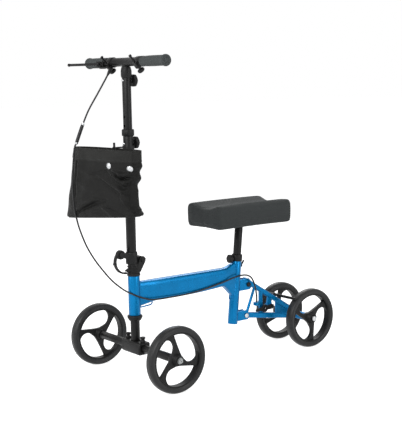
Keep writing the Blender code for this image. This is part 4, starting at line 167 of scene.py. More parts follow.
def by_ray(tree, hidden, seen):
    """One shader for what the camera sees straight, mirrored or through glass, and one for the rest."""
    rays = add_node(tree, "ShaderNodeLightPath").outputs
    share = combined(tree, "MAXIMUM", rays["Is Camera Ray"], rays["Is Glossy Ray"])
    share = combined(tree, "MAXIMUM", share, rays["Is Transmission Ray"])
    choice = add_node(tree, "ShaderNodeMixShader", Fac=share)
    tree.links.new(hidden.outputs[0], choice.inputs[1])
    tree.links.new(seen.outputs[0], choice.inputs[2])
    return choice.outputs[0]


def floor_finish():
    """White to the camera but for the shadows on it."""
    finish = bpy.data.materials.new("floor_white")
    finish.use_nodes = True
    tree = finish.node_tree
    tree.nodes.clear()
    matt = add_node(tree, "ShaderNodeBsdfDiffuse", Color=FLOOR_COLOUR)
    glow = add_node(tree, "ShaderNodeEmission", Color=WHITE, Strength=FLOOR_GLOW)
    dark = add_node(tree, "ShaderNodeEmission", Strength=0.0)
    both = add_node(tree, "ShaderNodeAddShader")
    tree.links.new(matt.outputs[0], both.inputs[0])
    tree.links.new(by_ray(tree, dark, glow), both.inputs[1])
    add_node(tree, "ShaderNodeOutputMaterial", Surface=both.outputs[0])
    return finish


def build_surround():
    """A world that is white where it is seen and lights the object a little less."""
    world = bpy.data.worlds.new("surround")
    world.use_nodes = True
    bpy.context.scene.world = world
    tree = world.node_tree
    tree.nodes.clear()
    seen = add_node(tree, "ShaderNodeBackground", Color=WHITE, Strength=1.0)
    lit = add_node(tree, "ShaderNodeBackground", Color=SKY_COLOUR, Strength=SKY_STRENGTH)
    add_node(tree, "ShaderNodeOutputWorld", Surface=by_ray(tree, lit, seen))


def build_stage():
    """A pale floor that runs to the horizon, a white surround and four soft lights."""
    mesh = bpy.data.meshes.new("floor")
    corners = [(x * FLOOR_REACH, y * FLOOR_REACH, 0) for x, y in ((-1, -1), (1, -1), (1, 1), (-1, 1))]
    mesh.from_pydata(corners, [], [(0, 1, 2, 3)])
    mesh.materials.append(floor_finish())
    floor = linked("floor", mesh)
    light_lamps()
    build_surround()
    bpy.context.scene.view_settings.view_transform = "Standard"


# Finishes

# Most of a noise's values lie between these two
NOISE_LOW = 0.3
NOISE_HIGH = 0.7
THREAD_SLANT = 0.45
FINISHES = {}


class Finish:
    """A Principled material with small helpers for its colour, roughness and relief."""

    def __init__(self, name, colour, roughness, specular=0.5, **settings):
        self.colour = colour
        self.material = bpy.data.materials.new(name)
        self.material.use_nodes = True
        self.material.diffuse_color = self.shade(1.0)
        self.tree = self.material.node_tree
        self.shader = self.tree.nodes["Principled BSDF"]
        self.shader.inputs["Base Color"].default_value = self.shade(1.0)
        self.shader.inputs["Roughness"].default_value = roughness
        self.shader.inputs["Specular IOR Level"].default_value = specular
        for socket, value in settings.items():
            self.shader.inputs[socket.replace("_", " ")].default_value = value
        self.coordinates = add_node(self.tree, "ShaderNodeTexCoord").outputs["Object"]
        FINISHES[name] = self.material

    def shade(self, factor):
        """The finish's own colour, darker or lighter by a factor."""
        return (*(channel * factor for channel in self.colour), 1.0)

    def noise(self, size, detail, roughness=0.55, stretch=(1.0, 1.0, 1.0)):
        """Noise whose marks are about so many metres wide."""
        place = add_node(self.tree, "ShaderNodeMapping", Vector=self.coordinates, Scale=stretch).outputs[0]
        scale = 1.0 / size
        node = add_node(
            self.tree, "ShaderNodeTexNoise", Vector=place, Scale=scale, Detail=detail, Roughness=roughness)
        return node.outputs["Fac"]

    def cells(self, size):
        """Small pits, so many metres wide."""
        node = add_node(self.tree, "ShaderNodeTexVoronoi", Vector=self.coordinates, Scale=1.0 / size)
        return node.outputs["Distance"]

    def wave(self, weights, period):
        """The sine of a weighted sum of the coordinates, one wave for each period."""
        parts = add_node(self.tree, "ShaderNodeVectorMath")
        parts.operation = "DOT_PRODUCT"
        self.tree.links.new(self.coordinates, parts.inputs[0])
        parts.inputs[1].default_value = [weight * 2 * math.pi / period for weight in weights]
        return combined(self.tree, "SINE", parts.outputs["Value"])

    def ramp(self, source, low, high, start=NOISE_LOW, end=NOISE_HIGH):
        """A value that goes from low to high as the source goes from start to end."""
        node = add_node(
            self.tree, "ShaderNodeMapRange", Value=source,
            From_Min=start, From_Max=end, To_Min=low, To_Max=high)
        return node.outputs["Result"]

    def height_share(self, start, end):
        """A share that goes from 0 to 1 as the height at rest goes from start to end."""
        parts = add_node(self.tree, "ShaderNodeSeparateXYZ", Vector=self.coordinates)
        return self.ramp(parts.outputs["Z"], 0.0, 1.0, start, end)

    def tint(self, source, low, high):
        """Base colour that goes from low to high times the finish's own as the source rises."""
        node = add_node(self.tree, "ShaderNodeValToRGB", Fac=source)
        stops = node.color_ramp.elements
        for stop, position, factor in ((stops[0], NOISE_LOW, low), (stops[1], NOISE_HIGH, high)):
            stop.position = position
            stop.color = self.shade(factor)
        self.tree.links.new(node.outputs["Color"], self.shader.inputs["Base Color"])

    def over(self, share, factor):
        """Lays another shade over the base colour where the share is above 0."""
        node = self.tree.nodes.new("ShaderNodeMix")
        node.data_type = "RGBA"
        amount, under, upper = node.inputs[0], node.inputs[6], node.inputs[7]
        self.tree.links.new(share, amount)
        self.tree.links.new(self.shader.inputs["Base Color"].links[0].from_socket, under)
        upper.default_value = self.shade(factor)
        self.tree.links.new(node.outputs[2], self.shader.inputs["Base Color"])

    def rough(self, source, low, high):
        """Roughness that goes from low to high as the source rises."""
        self.tree.links.new(self.ramp(source, low, high), self.shader.inputs["Roughness"])

    def relief(self, source, depth, strength):
        """Bump that is so many metres deep. A second call lies on top of the first."""
        node = add_node(self.tree, "ShaderNodeBump", Height=source, Distance=depth, Strength=strength)
        under = self.shader.inputs["Normal"].links
        if under:
            self.tree.links.new(under[0].from_socket, node.inputs["Normal"])
        self.tree.links.new(node.outputs["Normal"], self.shader.inputs["Normal"])

    def weave(self, period, depth):
        """Crossing threads, one for each period."""
        warp = self.wave((1.0, THREAD_SLANT, 0.0), period)
        weft = self.wave((0.0, THREAD_SLANT, 1.0), period)
        self.relief(combined(self.tree, "MULTIPLY", warp, weft), depth, 0.7)


def make_blue_paint():
    paint = Finish(
        "blue_paint", (0.0, 0.166, 0.405), 0.36, 0.1, Metallic=0.45, Coat_Weight=0.05, Coat_Roughness=0.16)
    paint.tint(paint.noise(0.035, 3), 0.93, 1.06)
    paint.rough(paint.noise(0.012, 4), 0.24, 0.34)
    paint.relief(paint.noise(0.006, 2), 0.00004, 0.4)


def make_black_paint():
    paint = Finish("black_paint", (0.008, 0.008, 0.0082), 0.36, 0.15, Coat_Weight=0.03, Coat_Roughness=0.25)
    paint.tint(paint.noise(0.02, 4), 0.85, 1.2)
    paint.rough(paint.noise(0.008, 4), 0.3, 0.44)
    paint.relief(paint.noise(0.0011, 3), 0.00008, 0.6)


def make_black_plastic():
    plastic = Finish("black_plastic", (0.0085, 0.0085, 0.0087), 0.4, 0.18)
    plastic.tint(plastic.noise(0.016, 4), 0.82, 1.25)
    plastic.rough(plastic.noise(0.006, 3), 0.38, 0.55)
    plastic.relief(plastic.cells(0.0009), 0.00005, 0.5)


def make_tyre_rubber():
    rubber = Finish("tyre_rubber", (0.019, 0.0195, 0.02), 0.4, 0.22)
    rubber.tint(rubber.noise(0.018, 5, 0.65), 0.78, 1.3)
    rubber.rough(rubber.noise(0.009, 4), 0.27, 0.46)
    rubber.relief(rubber.noise(0.003, 4), 0.00008, 0.5)


def make_grip_foam():
    foam = Finish("grip_foam", (0.05, 0.056, 0.056), 0.8, 0.2, Sheen_Weight=0.06)
    foam.tint(foam.noise(0.004, 4), 0.78, 1.25)
    foam.relief(foam.cells(0.001), 0.00022, 0.8)
    foam.relief(foam.noise(0.006, 2), 0.0003, 0.4)


def make_bright_steel():
    metal = Finish("bright_steel", (0.5, 0.51, 0.52), 0.26, Metallic=1.0)
    metal.tint(metal.noise(0.004, 4), 0.82, 1.1)
    metal.rough(metal.noise(0.0025, 4, stretch=(1.0, 1.0, 6.0)), 0.18, 0.36)
    metal.relief(metal.noise(0.0012, 3), 0.00003, 0.5)


def make_dull_zinc():
    metal = Finish("dull_zinc", (0.3, 0.31, 0.31), 0.38, Metallic=1.0)
    metal.tint(metal.noise(0.003, 4), 0.6, 1.3)
    metal.rough(metal.noise(0.0025, 4), 0.28, 0.5)
    metal.relief(metal.noise(0.001, 3), 0.00004, 0.6)


def make_pad_cloth():
    grey = (0.039, 0.043, 0.0435)
    cloth = Finish("pad_cloth", grey, 0.8, 0.14, Sheen_Weight=0.08, Sheen_Roughness=0.5)
    cloth.tint(cloth.noise(0.0022, 5, 0.7), 0.72, 1.3)
    cloth.weave(0.0013, 0.00012)
    cloth.relief(cloth.noise(0.012, 4), 0.0006, 0.35)


def make_bag_nylon():
    """Dull cloth, with a painted highlight that makes the hem a shade lighter than the rest, in uneven
    patches.
    """
    black = (0.006, 0.006, 0.0056)
    nylon = Finish("bag_nylon", black, 0.48, 0.11, Sheen_Weight=0.04, Sheen_Roughness=0.4)
    nylon.tint(nylon.noise(0.0016, 5, 0.7), 0.65, 1.45)
    # Painted highlight: above the hem line the base colour is overlaid with a shade 2.8 times lighter, in
    # uneven patches.
    hem = nylon.height_share(0.6405, 0.6415)
    highlight_patches = nylon.ramp(nylon.noise(0.02, 3), 0.55, 1.0)
    nylon.over(combined(nylon.tree, "MULTIPLY", hem, highlight_patches), 2.8)
    nylon.weave(0.0009, 0.0001)
    nylon.relief(nylon.noise(0.016, 4), 0.0012, 0.4)


def make_cable_skin():
    skin = Finish("cable_skin", (0.013, 0.013, 0.0135), 0.36, 0.26)
    skin.tint(skin.noise(0.01, 3), 0.85, 1.2)
    skin.rough(skin.noise(0.005, 3), 0.28, 0.42)
    skin.relief(skin.noise(0.0018, 2), 0.00004, 0.5)


def make_finishes():
    make_blue_paint()
    make_black_paint()
    make_black_plastic()
    make_tyre_rubber()
    make_grip_foam()
    make_bright_steel()
    make_dull_zinc()
    make_pad_cloth()
    make_bag_nylon()
    make_cable_skin()


# Rigid nodes that keep their shape

SMOOTH_ANGLE = math.radians(38)
WELD_DISTANCE = 0.00001
EDGE_WIDTHS = {"blue_paint": 0.001, "black_paint": 0.0006, "black_plastic": 0.0008, "bright_steel": 0.0006}


def smooth_by_angle():
    """Geometry nodes that shade a mesh smooth but for its edges over SMOOTH_ANGLE."""
    group = bpy.data.node_groups.new("smooth_by_angle", "GeometryNodeTree")
    group.interface.new_socket("Geometry", in_out="INPUT", socket_type="NodeSocketGeometry")
    group.interface.new_socket("Geometry", in_out="OUTPUT", socket_type="NodeSocketGeometry")
    start = add_node(group, "NodeGroupInput").outputs[0]
    own = add_node(group, "GeometryNodeRemoveAttribute", Geometry=start, Name="custom_normal").outputs[0]
    faces = add_node(group, "GeometryNodeSetShadeSmooth", Geometry=own)
    faces.domain = "FACE"
    angle = add_node(group, "GeometryNodeInputMeshEdgeAngle").outputs["Unsigned Angle"]
    above = add_node(group, "FunctionNodeCompare", A=angle, B=SMOOTH_ANGLE)
    above.operation = "GREATER_THAN"
    edges = add_node(
        group, "GeometryNodeSetShadeSmooth", Geometry=faces.outputs[0], Selection=above.outputs[0],
        Shade_Smooth=False)
    edges.domain = "EDGE"
    add_node(group, "NodeGroupOutput", Geometry=edges.outputs[0])
    return group


def add_modifier(item, kind, **settings):
    change = item.modifiers.new(kind.lower(), kind)
    for name, value in settings.items():
        setattr(change, name, value)


def dress_nodes():
    """A finish, softened edges and smooth shading for every CAD node."""
    smoother = smooth_by_angle()
    edges = {"segments": 2, "limit_method": "ANGLE", "angle_limit": SMOOTH_ANGLE, "use_clamp_overlap": True}
    for entry in frame["record"]["subparts"]:
        item = NODES[entry["node"]]
        slot = entry["material_slot"]
        item.data.materials.clear()
        item.data.materials.append(FINISHES[slot])
        add_modifier(item, "WELD", merge_threshold=WELD_DISTANCE)
        if slot in EDGE_WIDTHS:
            add_modifier(item, "BEVEL", width=EDGE_WIDTHS[slot], **edges)
        add_modifier(item, "NODES", node_group=smoother)


# Shape helpers for new pieces

def mesh_from(shape, name):
    mesh = bpy.data.meshes.new(name)
    shape.to_mesh(mesh)
    shape.free()
    return mesh


def new_piece(name, shape, slot, body=None, sharp=SMOOTH_ANGLE, finish=None):
    """A piece shaded smooth but for edges over the sharp angle, in its slot's finish or another one."""
    mesh = mesh_from(shape, name)
    item = linked(name, mesh)
    mesh.shade_smooth()
    mesh.set_sharp_from_angle(angle=sharp)
    mesh.materials.append(FINISHES[finish or slot])
    if body:
        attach(item, body)
    return item


def evaluated_mesh(item):
    """The mesh of a curve, or of an object with its modifiers applied."""
    bpy.context.view_layer.update()
    return bpy.data.meshes.new_from_object(item.evaluated_get(bpy.context.evaluated_depsgraph_get()))


def along(start, direction):
    """A frame at start whose Z runs along direction and whose X is level where it can be."""
    axis = Vector(direction).normalized()
    side = Vector((1.0, 0.0, 0.0)) if abs(axis.x) < 0.9 else Vector((0.0, 0.0, -1.0))
    side = (side - side.dot(axis) * axis).normalized()
    turn = Matrix((side, axis.cross(side), axis)).transposed()
    return Matrix.Translation(start) @ turn.to_4x4()


def neighbours(items, closed=False):
    """Each item with the next one, and where they are closed the last one with the first."""
    return list(zip(items, items[1:] + items[:1] if closed else items[1:]))


def band(shape, low, high):
    """Faces between two rings, either of which may be a single point."""
    faces = []
    count = max(len(low), len(high))
    for step in range(count):
        after = (step + 1) % count
        places = ((low, step), (low, after), (high, after), (high, step))
        corners = list(dict.fromkeys(ring[place % len(ring)] for ring, place in places))
        if len(corners) > 2:
            faces.append(shape.faces.new(corners))
    return faces


def cover(shape, rings, closed=False, ends=False):
    """A skin over the rings, and over both ends where that is asked for."""
    faces = []
    for low, high in neighbours(rings, closed):
        faces += band(shape, low, high)
    if ends:
        faces.append(shape.faces.new(rings[0][::-1]))
        faces.append(shape.faces.new(rings[-1]))
    bmesh.ops.recalc_face_normals(shape, faces=faces)


def turned(shape, profile, place, segments, closed=False):
    """Revolves (radius, height) points about the place's Z. A radius of 0 gives one point."""
    rings = []
    for radius, height in profile:
        angles = round_turn(segments) if radius else [0.0]
        points = [Vector((radius * math.cos(angle), radius * math.sin(angle), height)) for angle in angles]
        rings.append([shape.verts.new(place @ point) for point in points])
    cover(shape, rings, closed)


def rounded_profile(points, edge):
    """The profile with each inner corner eased over so much length. End points stay."""
    result = [points[0]]
    for before, corner, after in zip(points, points[1:], points[2:]):
        start, middle, end = Vector(before), Vector(corner), Vector(after)
        reach = min(edge, (start - middle).length * 0.45, (end - middle).length * 0.45)
        first = middle + (start - middle).normalized() * reach
        last = middle + (end - middle).normalized() * reach
        result += [tuple(first), tuple(first / 4 + middle / 2 + last / 4), tuple(last)]
    return result + [points[-1]]


def both_sides(side):
    """The points of one side, and the same points at the other side of the middle."""
    return side + [(radius, -height) for radius, height in reversed(side)]


def smooth_step(value):
    """An even, soft rise from 0 to 1, with the value held between them."""
    value = min(max(value, 0.0), 1.0)
    return value * value * (3 - 2 * value)


def rounded(value, power):
    """A sine or cosine bent so that a circle becomes a rounded box, squarer with more power."""
    return math.copysign(abs(value) ** (2 / power), value)


def mix(low, high, share):
    return low + (high - low) * share


def round_turn(count, offset=0.0):
    """So many angles, evenly round a circle."""
    return [2 * math.pi * (step + offset) / count for step in range(count)]


def arc(centre, radius, start, end, points):
    steps = [start + (end - start) * step / (points - 1) for step in range(points)]
    return [(centre[0] + radius * math.cos(a), centre[1] + radius * math.sin(a)) for a in steps]


def smooth_route(points, steps):
    """A Catmull-Rom curve through the points, with so many steps from each one to the next."""
    route = [Vector(point) for point in points]
    padded = [2 * route[0] - route[1]] + route + [2 * route[-1] - route[-2]]
    dense = []
    for index in range(len(route) - 1):
        a, b, c, d = padded[index:index + 4]
        for step in range(steps):
            t = step / steps
            part = 2 * b + (c - a) * t + (2 * a - 5 * b + 4 * c - d) * t * t
            dense.append((part + (3 * b - a - 3 * c + d) * t ** 3) / 2)
    return dense + [route[-1]]


def tube_along(shape, points, radii, sides, closed=False):
    """A round tube of one radius, or of one for each point. Its rings turn as little as they can."""
    if not isinstance(radii, list):
        radii = [radii] * len(points)
    lead, trail = (points[-1:], points[:1]) if closed else (points[:1], points[-1:])
    rings = []
    side = None
    for before, point, after, radius in zip(lead + points, points, points[1:] + trail, radii):
        run = (after - before).normalized()
        if side is None:
            side = run.orthogonal().normalized()
        side = (side - side.dot(run) * run).normalized()
        other = run.cross(side)
        ring = []
        for angle in round_turn(sides):
            reach = (side * math.cos(angle) + other * math.sin(angle)) * radius
            ring.append(shape.verts.new(point + reach))
        rings.append(ring)
    cover(shape, rings, closed, not closed)


# Wheels

RIM_RADIUS = WHEEL_RADIUS - TYRE_DEPTH - FIT_GAP
RIM_DEPTH = 0.0045
OPENING_RADIUS = RIM_RADIUS - RIM_DEPTH
RIM_HALF = 0.012
RIM_LIP = 0.0012
RIM_EDGE = 0.0006
WEB_HALF = 0.0055
WEB_EDGE = 0.0013
WEB_POINTS = 96
HUB_RADIUS = 0.0165
HUB_RECESS = 0.003
HUB_RECESS_RADIUS = 0.0105
BORE_RADIUS = 0.0046
SPOKES = 3
SPOKE_OFFSET = 0.017
OPENING_START = 0.004
LOBE_RADIUS = 0.025
LOBE_ANGLE = math.radians(23)
LOBE_SWEEP = math.radians(150)
CORNER_CUT = 0.2
CORNER_ROUNDS = 3

# Each wheel's centre, the side that its spokes face and the angle that they stand at
WHEELS = (
    ("front_left", Vector((FRONT_WHEEL_X, STEERING_Y, WHEEL_RADIUS)), 1, math.radians(-9)),
    ("front_right", Vector((-FRONT_WHEEL_X, STEERING_Y, WHEEL_RADIUS)), 1, math.radians(56)),
    ("rear_left", Vector((REAR_WHEEL_X, REAR_AXLE_Y, WHEEL_RADIUS)), -1, math.radians(25)),
    ("rear_right", Vector((-REAR_WHEEL_X, REAR_AXLE_Y, WHEEL_RADIUS)), -1, math.radians(77)),
)


def opening_outline():
    """One opening between two spokes: a straight side, the rim's arc and a round lobe."""
    third = 2 * math.pi / SPOKES
    away = third - math.pi / 2
    along_spoke = Vector((math.cos(third), math.sin(third)))
    beside = Vector((math.cos(away), math.sin(away))) * SPOKE_OFFSET
    near_hub = beside + along_spoke * OPENING_START
    reach = math.sqrt(OPENING_RADIUS ** 2 - SPOKE_OFFSET ** 2)
    at_rim = beside + along_spoke * reach
    rim_angle = math.atan2(at_rim.y, at_rim.x)
    centre_radius = OPENING_RADIUS - LOBE_RADIUS
    centre = (centre_radius * math.cos(LOBE_ANGLE), centre_radius * math.sin(LOBE_ANGLE))
    rim = arc((0.0, 0.0), OPENING_RADIUS, rim_angle, LOBE_ANGLE, 22)
    lobe = arc(centre, LOBE_RADIUS, LOBE_ANGLE, LOBE_ANGLE - LOBE_SWEEP, 20)
    return [tuple(near_hub)] + rim + lobe[1:]


def eased_outline(outline):
    """The outline with its corners cut again and again, which rounds them."""
    for _ in range(CORNER_ROUNDS):
        eased = []
        for start, end in neighbours(outline, True):
            for share in (CORNER_CUT, 1 - CORNER_CUT):
                eased.append(tuple(mix(a, b, share) for a, b in zip(start, end)))
        outline = eased
    return outline


def web_mesh(outlines):
    """A flat plate with eased edges. Its first outline is its rim and the others are holes."""
    curve = bpy.data.curves.new("web", "CURVE")
    curve.dimensions = "2D"
    curve.fill_mode = "BOTH"
    curve.extrude = WEB_HALF - WEB_EDGE
    curve.bevel_depth = WEB_EDGE
    curve.bevel_resolution = 2
    curve.offset = -WEB_EDGE
    for outline in outlines:
        spline = curve.splines.new("POLY")
        spline.use_cyclic_u = True
        spline.points.add(len(outline) - 1)
        for point, (x, y) in zip(spline.points, outline):
            point.co = (x, y, 0.0, 1.0)
    holder = linked("web", curve)
    mesh = evaluated_mesh(holder)
    bpy.data.objects.remove(holder, do_unlink=True)
    return mesh


def wheel_shape():
    """Web with three lobed openings, rim with a bead at each side, hub with a recess at each end."""
    last_angle = 2 * math.pi * (WEB_POINTS - 1) / WEB_POINTS
    disc = arc((0.0, 0.0), OPENING_RADIUS + 0.0014, 0.0, last_angle, WEB_POINTS)
    opening = [Vector(point) for point in eased_outline(opening_outline())]
    turns = [Matrix.Rotation(angle, 2) for angle in round_turn(SPOKES)]
    holes = [[tuple(turn @ point) for point in opening] for turn in turns]
    shape = bmesh.new()
    shape.from_mesh(web_mesh([disc] + holes))
    rim = [
        (OPENING_RADIUS, -RIM_HALF + RIM_LIP), (OPENING_RADIUS + RIM_LIP, -RIM_HALF),
        (RIM_RADIUS - RIM_EDGE, -RIM_HALF), (RIM_RADIUS, -RIM_HALF + 0.0008),
    ]
    turned(shape, both_sides(rim) + [(OPENING_RADIUS - RIM_EDGE, 0.0)], Matrix(), WEB_POINTS, True)
    half = HUB_LENGTH / 2
    hub = [
        (BORE_RADIUS, -half + HUB_RECESS), (HUB_RECESS_RADIUS, -half + HUB_RECESS),
        (HUB_RECESS_RADIUS + 0.0003, -half), (HUB_RADIUS - 0.003, -half),
        (HUB_RADIUS - 0.0018, -half + 0.0012), (HUB_RADIUS + 0.0006, -WEB_HALF - 0.001),
        (HUB_RADIUS + 0.0022, -WEB_HALF + 0.0006),
    ]
    turned(shape, both_sides(hub), Matrix(), 64, True)
    return shape


def tyre_shape():
    """A round-shouldered tyre with a flat tread, fine lines beside it and a bead line on each wall."""
    half = TYRE_WIDTH / 2
    inner = RIM_RADIUS + 0.0002
    side = [
        (inner, -RIM_HALF), (inner + 0.002, -RIM_HALF - 0.0012), (inner + 0.0032, -RIM_HALF - 0.0008),
        (inner + 0.0044, -half + 0.001), (inner + 0.01, -half), (inner + 0.0126, -half + 0.0011),
        (WHEEL_RADIUS - 0.0014, -half + 0.0048), (WHEEL_RADIUS - 0.0006, -0.0078),
        (WHEEL_RADIUS - 0.0011, -0.007), (WHEEL_RADIUS - 0.0003, -0.0062), (WHEEL_RADIUS, -0.0035),
    ]
    shape = bmesh.new()
    turned(shape, rounded_profile(both_sides(side), 0.0015), Matrix(), 128, True)
    return shape


def build_wheels():
    for label, centre, facing, angle in WHEELS:
        spin = Matrix.Rotation(facing * (math.pi / 2 + angle), 4, "Z")
        place = along(centre, (facing, 0.0, 0.0)) @ spin
        core, tread = wheel_shape(), tyre_shape()
        core.transform(place)
        tread.transform(place)
        wheel = new_piece(label + "_spoked_wheel", core, "black_plastic", label + "_wheel")
        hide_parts(label + "_wheel")
        tyre = new_piece(label + "_tread", tread, "tyre_rubber", label + "_wheel")
        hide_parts(label + "_tyre")


def build_hub_nuts():
    """Hexagon nuts, each with a washer and a domed axle end, in place of the frame's plain nuts."""
    washer = 0.0012
    for label, side in (("left", 1), ("right", -1)):
        node = "front_axle_nut_" + label
        low, high = (Vector(corner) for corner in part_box(node))
        middle = (low + high) / 2
        length, radius = high.x - low.x, (high.z - low.z) / 2
        place = along(middle - Vector((side * length / 2, 0.0, 0.0)), (side, 0.0, 0.0))
        shape = bmesh.new()
        rim = radius + 0.0008
        turned(shape, [(0.0, 0.0), (rim, 0.0), (rim, washer), (0.0, washer)], place, 40)
        face = length - 0.0016
        nut = [(0.0, washer), (radius, washer), (radius, face - 0.0012), (radius * 0.86, face), (0.0, face)]
        turned(shape, nut, place, 6)
        end = [
            (0.0042, face - 0.0004), (0.0042, length - 0.0008), (0.0034, length - 0.0001),
            (0.0016, length - 0.0001), (0.0012, face), (0.0, face),
        ]
        turned(shape, end, place, 24)
        item = new_piece("hub_nut_" + label, shape, "bright_steel", "steering", finish="dull_zinc")
        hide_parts(node)


# Main beam

HEAD_RADIUS = 0.0175
SEAT_TUBE_RADIUS = 0.0155
BEAM_TOP = 0.285
BEAM_DEPTH = 0.063
BEAM_HALF_WIDTH = 0.0195
BEAM_CORNER_POWER = 4.0
BEAM_STATIONS = 72
BEAM_POINTS = 56
BEAM_CROWDING = 1.35
BEAM_FRONT_REACH = 0.07
BEAM_REAR_REACH = 0.062
BEAM_FLARE_REACH = 0.05
BEAM_FLARE_RISE = 0.013
BEAM_ARCH = 0.009
BEAM_REAR_DROP = 0.048
BEAM_FRONT_TAPER = 0.24
BEAM_REAR_TAPER = 0.34
BEAM_SINK = 0.0004
WELD_RADIUS = 0.0016
WELD_STEP = 0.0007
WELD_RIPPLE = 0.16
WELD_RIPPLE_LENGTH = 0.0021
GUIDE_DROP = 0.013
GUIDE_RADIUS = 0.002

# The wire guide under the beam, from the head tube: distance behind the steering axis, and height
GUIDE_BENDS = ((0.014, -0.002), (0.045, 0.0), (0.058, 0.002), (0.062, 0.008), (0.062, 0.019))


def seat_axis_y(z):
    return SEAT_FOOT.y - STEERING_Y + math.tan(SEAT_LEAN) * (z - SEAT_FOOT.z)


def beam_station(y, front, rear):
    """Top, bottom and half width of the beam where it is y behind the steering axis."""
    to_front = smooth_step(1 - (y - front) / BEAM_FRONT_REACH)
    to_rear = smooth_step(1 - (rear - y) / BEAM_REAR_REACH)
    to_flare = smooth_step(1 - (rear - y) / BEAM_FLARE_REACH)
    arch = smooth_step(1 - (rear - y) / (3 * BEAM_REAR_REACH))
    top = BEAM_TOP + BEAM_FLARE_RISE * to_flare
    bottom = BEAM_TOP - BEAM_DEPTH - BEAM_ARCH * to_front + BEAM_ARCH * arch - BEAM_REAR_DROP * to_rear
    taper = max(to_front * BEAM_FRONT_TAPER, to_rear * BEAM_REAR_TAPER)
    return top, bottom, BEAM_HALF_WIDTH * (1 - taper)


def beam_ring(y, front, rear):
    """The beam's section there, cut to the round of the head tube and of the seat tube."""
    top, bottom, half_width = beam_station(y, front, rear)
    ring = []
    for angle in round_turn(BEAM_POINTS, 0.5):
        x = half_width * rounded(math.cos(angle), BEAM_CORNER_POWER)
        z = (top + bottom) / 2 + (top - bottom) / 2 * rounded(math.sin(angle), BEAM_CORNER_POWER)
        saddle = math.sqrt(max((HEAD_RADIUS - BEAM_SINK) ** 2 - x * x, 0.0))
        back_saddle = seat_axis_y(z) - math.sqrt(max((SEAT_TUBE_RADIUS - BEAM_SINK) ** 2 - x * x, 0.0))
        place = min(max(y, saddle), back_saddle)
        ring.append(Vector((x, place + STEERING_Y, z)))
    return ring


def build_beam():
    """The beam as one smooth loft from the head tube to the seat tube, with a weld bead round each end."""
    front = HEAD_RADIUS * 0.45
    rear = seat_axis_y(BEAM_TOP - BEAM_DEPTH / 2)
    shape = bmesh.new()
    rings = []
    for index in range(BEAM_STATIONS):
        share = index / (BEAM_STATIONS - 1)
        rings.append(beam_ring(mix(front, rear, 1 - (1 - share) ** BEAM_CROWDING), front, rear))
    cover(shape, [[shape.verts.new(point) for point in ring] for ring in rings], ends=True)
    guide_z = BEAM_TOP - BEAM_DEPTH - GUIDE_DROP
    guide = [Vector((0.0, STEERING_Y + behind, guide_z + rise)) for behind, rise in GUIDE_BENDS]
    tube_along(shape, smooth_route(guide, 6), GUIDE_RADIUS, 12)
    beam = new_piece("beam_shell", shape, "blue_paint", "frame")
    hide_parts("main_beam")
    for label, ring, run in (("head", rings[0], 1), ("seat", rings[-1], -1)):
        build_weld("beam_weld_" + label, [point + Vector((0.0, run * 0.0008, 0.0)) for point in ring])


def build_weld(name, outline):
    """A weld bead along a closed outline, with the small ripples that the torch leaves."""
    dense = []
    for start, end in neighbours(outline, True):
        pieces = max(1, round((end - start).length / WELD_STEP))
        dense += [start.lerp(end, step / pieces) for step in range(pieces)]
    travelled = 0.0
    radii = []
    for start, end in neighbours(dense, True):
        ripple = math.sin(2 * math.pi * travelled / WELD_RIPPLE_LENGTH)
        radii.append(WELD_RADIUS * (1 + WELD_RIPPLE * ripple))
        travelled += (end - start).length
    shape = bmesh.new()
    tube_along(shape, dense, radii, 8, True)
    new_piece(name, shape, "blue_paint", "frame")


# Handlebar grips

GRIP_CAP = 0.003
GRIP_END = BAR_HALF_LENGTH + FIT_GAP + GRIP_CAP
GRIPS = (("left", 1, 0.1133), ("right", -1, 0.0933))


def build_grips():
    """Foam grips with a rolled flange at the open end and an end cap with a raised disc."""
    for label, side, length in GRIPS:
        start = GRIP_END - length
        body = [
            (0.0113, start), (0.0134, start), (0.0143, start + 0.0006), (0.0147, start + 0.0022),
            (0.0146, start + 0.005), (0.0139, start + 0.0062), (0.0141, start + 0.012),
            (0.0147, start + 0.03), (0.0148, start + length * 0.5), (0.0146, GRIP_END - 0.022),
            (0.0144, GRIP_END - 0.0125), (0.015, GRIP_END - 0.01), (0.016, GRIP_END - 0.0084),
            (0.0163, GRIP_END - 0.0066), (0.0163, GRIP_END - 0.003), (0.0156, GRIP_END - 0.0008),
            (0.014, GRIP_END), (0.0096, GRIP_END), (0.0092, GRIP_END - 0.0007), (0.0084, GRIP_END - 0.0007),
            (0.008, GRIP_END - 0.0001), (0.003, GRIP_END), (0.0, GRIP_END),
        ]
        shape = bmesh.new()
        turned(shape, rounded_profile(body, 0.0012), along((0.0, COLUMN_Y, BAR_Z), (side, 0.0, 0.0)), 72)
        grip = new_piece(label + "_foam_grip", shape, "grip_foam", "bars", math.radians(60))
        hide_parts(label + "_grip")


# Brake cable

